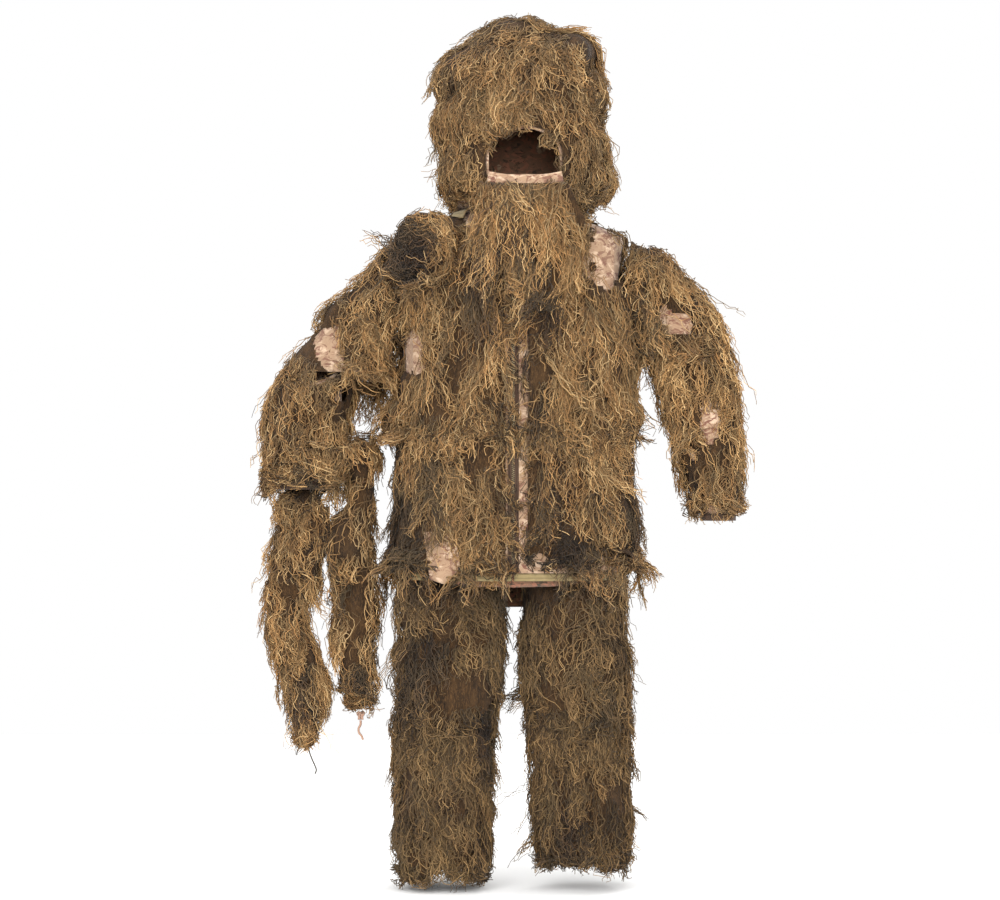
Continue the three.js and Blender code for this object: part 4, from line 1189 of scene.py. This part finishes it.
def build_threads(sizes):
    guide = guide_surface()
    for number, (node, pile) in enumerate(PILES.items()):
        rng = np.random.default_rng(sizes.seed + number)
        swirl = middle(node) if pile.heart == "tuft" else None
        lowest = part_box(node)[0].z - pile.drop
        paths, normals, roots_of_strays = [], [], []
        for root, normal in lock_roots(node, pile, guide, sizes.amount, rng):
            if bareness(root) > rng.uniform(0.02, 0.9):
                continue
            length = cut_short(pile.length * rng.uniform(0.65, 1.3), root, lowest, rng)
            points, directions = grow_lock(root, normal, length, pile, guide, rng, swirl)
            wear = rng.uniform(0.05, 0.9)
            stops = [index for index, point in enumerate(points)
                     if in_window(point) or bareness(point) > wear]
            if stops and rng.random() < STOP_SHARE:
                if stops[0] < 3:
                    continue
                kept = length * stops[0] / LOCK_POINTS
                points, directions = grow_lock(root, normal, kept, pile, guide, rng)
            paths.append(points)
            normals.append(directions)
            roots_of_strays.append((root, normal))
        lines, light = spin_threads(paths, normals, pile, sizes, rng)
        hang_threads(node, lines, light, pile.tone, sizes.thread_width, rng)

        strays = rng.choice(len(paths), size=max(4, len(paths) // 5))
        loose = pile._replace(spread=0.012, curl=0.5)
        paths, normals = [], []
        for root, normal in (roots_of_strays[pick] for pick in strays):
            length = cut_short(STRAY_LENGTH * rng.uniform(0.5, 1.2), root, lowest, rng)
            start = root + normal * STRAY_LIFT
            points, directions = grow_lock(start, normal, length, loose, guide, rng, None, STRAY_SPREAD)
            if not any(in_window(point) for point in points):
                paths.append(points)
                normals.append(directions)
        lines, light = spin_threads(paths, normals, loose, sizes, rng, 3)
        hang_threads(node, lines, light + 0.16, pile.tone, sizes.thread_width * 0.85, rng, "strays")
    build_veil_knots(sizes)


def build_veil_knots(sizes):
    """The row of knotted loops that holds the veil's threads to its band."""
    rng = np.random.default_rng(sizes.seed + 100)
    low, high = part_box("veil_band")
    lines = []
    for place in np.linspace(low.x + 0.006, high.x - 0.006, KNOTS):
        for _ in range(4):
            centre = np.array([place + rng.normal(0, 0.0012), low.y - 0.004, low.z - band_sag(place) - 0.002])
            size = rng.uniform(0.0032, 0.0052)
            start = rng.uniform(0, 2 * math.pi)
            side = 1 if rng.random() < 0.5 else -1
            points = []
            for step in range(LOCK_POINTS):
                turn = start + side * step * 0.8
                wrap = centre + [size * math.cos(turn), -0.0025 * math.cos(turn * 1.5),
                                 size * 0.8 * math.sin(turn)]
                if step > 8:
                    wrap[2] = points[-1][2] - rng.uniform(0.005, 0.009)
                    wrap[0] = points[-1][0] + rng.normal(0, 0.002)
                points.append(wrap)
            lines.append(points)
    light = rng.normal(0.12, 0.06, len(lines))
    hang_threads("veil_threads", np.array(lines), light, "tan", sizes.thread_width, rng, "knots")


# ---------- zip ----------
def build_zip():
    """Teeth along both tapes, the slider and its pull."""
    tree = node_tree("zip_tape_left")
    low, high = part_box("zip_tape_left")
    shape = bmesh.new()
    pitch = 0.0042
    z = low.z + 0.004
    row = 0
    while z < high.z - 0.012:
        near, normal, _, _ = tree.ray_cast(Vector((0.004, -1.0, z)), Vector((0, 1, 0)))
        if near is not None and normal.y < -0.5:
            side = 1 if row % 2 else -1
            tooth(shape, Vector((side * 0.0014, near.y - 0.0008, z)), side)
        z += pitch / 2
        row += 1
    new_piece("zip_teeth", to_mesh(shape, "zip_teeth"), "jacket", "zip_metal", smooth=False)

    slider = bmesh.new()
    low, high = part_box("zip_slider")
    centre = (low + high) / 2
    width, depth, tall = (high - low)
    outline = [(0.5, 0.5), (0.5, 0.1), (0.32, -0.5), (-0.32, -0.5), (-0.5, 0.1), (-0.5, 0.5), (-0.2, 0.42),
               (0.2, 0.42)]
    for front in (-0.28, 0.38):
        plate(slider, [(centre.x + x * width, centre.z + z * tall) for x, z in outline],
              centre.y + front * depth, depth * 0.2)
    route = [Vector((centre.x, centre.y - depth * 0.2, centre.z + tall * 0.3)),
             Vector((centre.x, centre.y - depth * 0.5, centre.z + tall * 0.22)),
             Vector((centre.x, centre.y - depth * 0.52, centre.z - tall * 0.1)),
             Vector((centre.x, centre.y - depth * 0.2, centre.z - tall * 0.2))]
    sweep_tube(slider, route, width * 0.12, 6)
    replace_node("zip_slider", "slider", to_mesh(slider, "slider"), "zip_metal", False)

    pull = bmesh.new()
    low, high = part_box("zip_pull")
    centre = (low + high) / 2
    width, tall = high.x - low.x, high.z - low.z
    turn = math.atan2(high.y - low.y - 0.0025, tall)

    def on_pull(x, z, out=0.0):
        return Vector((centre.x + x * width, centre.y + z * math.tan(turn) * tall + out, centre.z + z * tall))
    loop = []
    for step in range(28):
        angle = 2 * math.pi * step / 28
        loop.append(on_pull(0.36 * math.cos(angle), 0.40 * math.sin(angle) if abs(math.sin(angle)) < 0.9
                            else 0.44 * math.copysign(1, math.sin(angle))))
    sweep_tube(pull, loop, 0.00115, 8, closed=True)
    tab = [on_pull(0.0, 0.12 - 0.1 * step) for step in range(6)]
    sweep_tube(pull, tab, lambda share: 0.0013 + 0.0009 * math.sin(math.pi * share), 8)
    replace_node("zip_pull", "pull", to_mesh(pull, "pull"), "zip_metal")


def plate(shape, outline, y, thickness):
    """A flat plate facing -Y with the given outline of x and z."""
    front = [shape.verts.new((x, y - thickness / 2, z)) for x, z in outline]
    back = [shape.verts.new((x, y + thickness / 2, z)) for x, z in outline]
    shape.faces.new(front)
    shape.faces.new(back[::-1])
    for i in range(len(outline)):
        j = (i + 1) % len(outline)
        shape.faces.new((front[j], front[i], back[i], back[j]))


def tooth(shape, centre, side):
    outline = [(-1.6, 0.7), (0.6, 0.75), (1.5, 0.35), (1.5, -0.35), (0.6, -0.75), (-1.6, -0.7)]
    plate(shape, [(centre.x - side * x * 0.001, centre.z + z * 0.001) for x, z in outline], centre.y, 0.0018)


# ---------- fittings ----------
def lathe(shape, start, axis, profile, sides=20):
    """Turns a profile of (distance along, radius) round an axis."""
    axis = axis.normalized()
    lean = Vector((0, 0, 1)) if abs(axis.z) < 0.9 else Vector((1, 0, 0))
    across = (lean - axis * lean.dot(axis)).normalized()
    up = axis.cross(across)
    rings = []
    turns = [2 * math.pi * i / sides for i in range(sides)]
    for along, radius in profile:
        centre = start + axis * along
        rings.append([shape.verts.new(centre + (across * math.cos(turn) + up * math.sin(turn)) * radius)
                      for turn in turns])
    for low, high in zip(rings, rings[1:]):
        for i in range(sides):
            j = (i + 1) % sides
            shape.faces.new((low[i], low[j], high[j], high[i]))
    shape.faces.new(rings[0][::-1])
    shape.faces.new(rings[-1])


def build_fittings():
    """The sleeve's cord toggle with its ribs and cord."""
    low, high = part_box("sleeve_toggle")
    centre = (low + high) / 2
    length, radius = high.y - low.y, (high.x - low.x) / 2
    shape = bmesh.new()
    profile = [(0, radius * 0.55), (length * 0.04, radius * 0.8)]
    for rib in range(7):
        at = length * (0.1 + 0.8 * rib / 6)
        profile += [(at - 0.0008, radius * 0.86), (at, radius), (at + 0.0008, radius * 0.86)]
    profile += [(length * 0.96, radius * 0.8), (length, radius * 0.55)]
    lathe(shape, Vector((centre.x, low.y, centre.z)), Vector((0, 1, 0)), profile)
    loop = []
    around = radius + 0.0009
    for step in range(24):
        turn = 2 * math.pi * step / 24
        loop.append(centre + Vector((math.cos(turn) * around, 0, math.sin(turn) * around)))
    sweep_tube(shape, loop, 0.0012, 6, closed=True)
    replace_node("sleeve_toggle", "toggle", to_mesh(shape, "toggle"), "toggle_plastic")


# ---------- add-on ----------
class GHILLIE_OT_materials(bpy.types.Operator):
    """Make the cloth, thread, cord, plastic and metal materials"""
    bl_idname = "ghillie.materials"
    bl_label = "Materials"
    bl_options = {"REGISTER", "UNDO"}

    def execute(self, context):
        make_materials(context.scene.ghillie_colours)
        return {"FINISHED"}


class GHILLIE_OT_stage(bpy.types.Operator):
    """Set the camera, pale floor and soft lights"""
    bl_idname = "ghillie.stage"
    bl_label = "Stage"
    bl_options = {"REGISTER", "UNDO"}

    def execute(self, context):
        build_stage(context.scene.ghillie_stage)
        return {"FINISHED"}


class GHILLIE_OT_cords(bpy.types.Operator):
    """Lay the wrap's drawcords and tie cord with its knot"""
    bl_idname = "ghillie.cords"
    bl_label = "Cords"
    bl_options = {"REGISTER", "UNDO"}

    def execute(self, context):
        build_cords()
        return {"FINISHED"}


class GHILLIE_OT_cloth(bpy.types.Operator):
    """Hang the printed cloth, lining and webbing"""
    bl_idname = "ghillie.cloth"
    bl_label = "Cloth"
    bl_options = {"REGISTER", "UNDO"}

    def execute(self, context):
        build_cloth(context.scene.ghillie_sizes)
        return {"FINISHED"}


class GHILLIE_OT_zip(bpy.types.Operator):
    """Fit the zip's teeth, slider and pull"""
    bl_idname = "ghillie.zip"
    bl_label = "Zip"
    bl_options = {"REGISTER", "UNDO"}

    def execute(self, context):
        build_zip()
        return {"FINISHED"}


class GHILLIE_OT_fittings(bpy.types.Operator):
    """Fit the sleeve toggle"""
    bl_idname = "ghillie.fittings"
    bl_label = "Fittings"
    bl_options = {"REGISTER", "UNDO"}

    def execute(self, context):
        build_fittings()
        return {"FINISHED"}


class GHILLIE_OT_backing(bpy.types.Operator):
    """Lay the mass of threads under the locks, dark with painted shade"""
    bl_idname = "ghillie.backing"
    bl_label = "Thread backing"
    bl_options = {"REGISTER", "UNDO"}

    def execute(self, context):
        build_backing(context.scene.ghillie_sizes)
        return {"FINISHED"}


class GHILLIE_OT_threads(bpy.types.Operator):
    """Sew the locks of thread over the suit"""
    bl_idname = "ghillie.threads"
    bl_label = "Threads"
    bl_options = {"REGISTER", "UNDO"}

    def execute(self, context):
        build_threads(context.scene.ghillie_sizes)
        return {"FINISHED"}


OPERATORS = (GHILLIE_OT_materials, GHILLIE_OT_stage, GHILLIE_OT_cords, GHILLIE_OT_cloth, GHILLIE_OT_zip,
             GHILLIE_OT_fittings, GHILLIE_OT_backing, GHILLIE_OT_threads)


class GHILLIE_PT_panel(bpy.types.Panel):
    """Lists the steps and the settings of the suit"""
    bl_idname = "GHILLIE_PT_panel"
    bl_label = "Ghillie suit"
    bl_space_type = "VIEW_3D"
    bl_region_type = "UI"
    bl_category = "Ghillie suit"

    def draw(self, context):
        for operator in OPERATORS:
            self.layout.operator(operator.bl_idname)
        for settings in (getattr(context.scene, name) for name in SETTINGS):
            box = self.layout.box()
            for name in settings.bl_rna.properties.keys():
                if name not in ("rna_type", "name"):
                    box.prop(settings, name)


CLASSES = (GhillieColours, GhillieSizes, GhillieStage, *OPERATORS, GHILLIE_PT_panel)
SETTINGS = {"ghillie_colours": GhillieColours, "ghillie_sizes": GhillieSizes, "ghillie_stage": GhillieStage}


def register():
    for item in CLASSES:
        bpy.utils.register_class(item)
    for name, kind in SETTINGS.items():
        setattr(bpy.types.Scene, name, PointerProperty(type=kind))


def unregister():
    for name in SETTINGS:
        delattr(bpy.types.Scene, name)
    for item in reversed(CLASSES):
        bpy.utils.unregister_class(item)


def main():
    register()
    for operator in OPERATORS:
        group, name = operator.bl_idname.split(".")
        getattr(getattr(bpy.ops, group), name)()


if __name__ == "__main__":
    main()
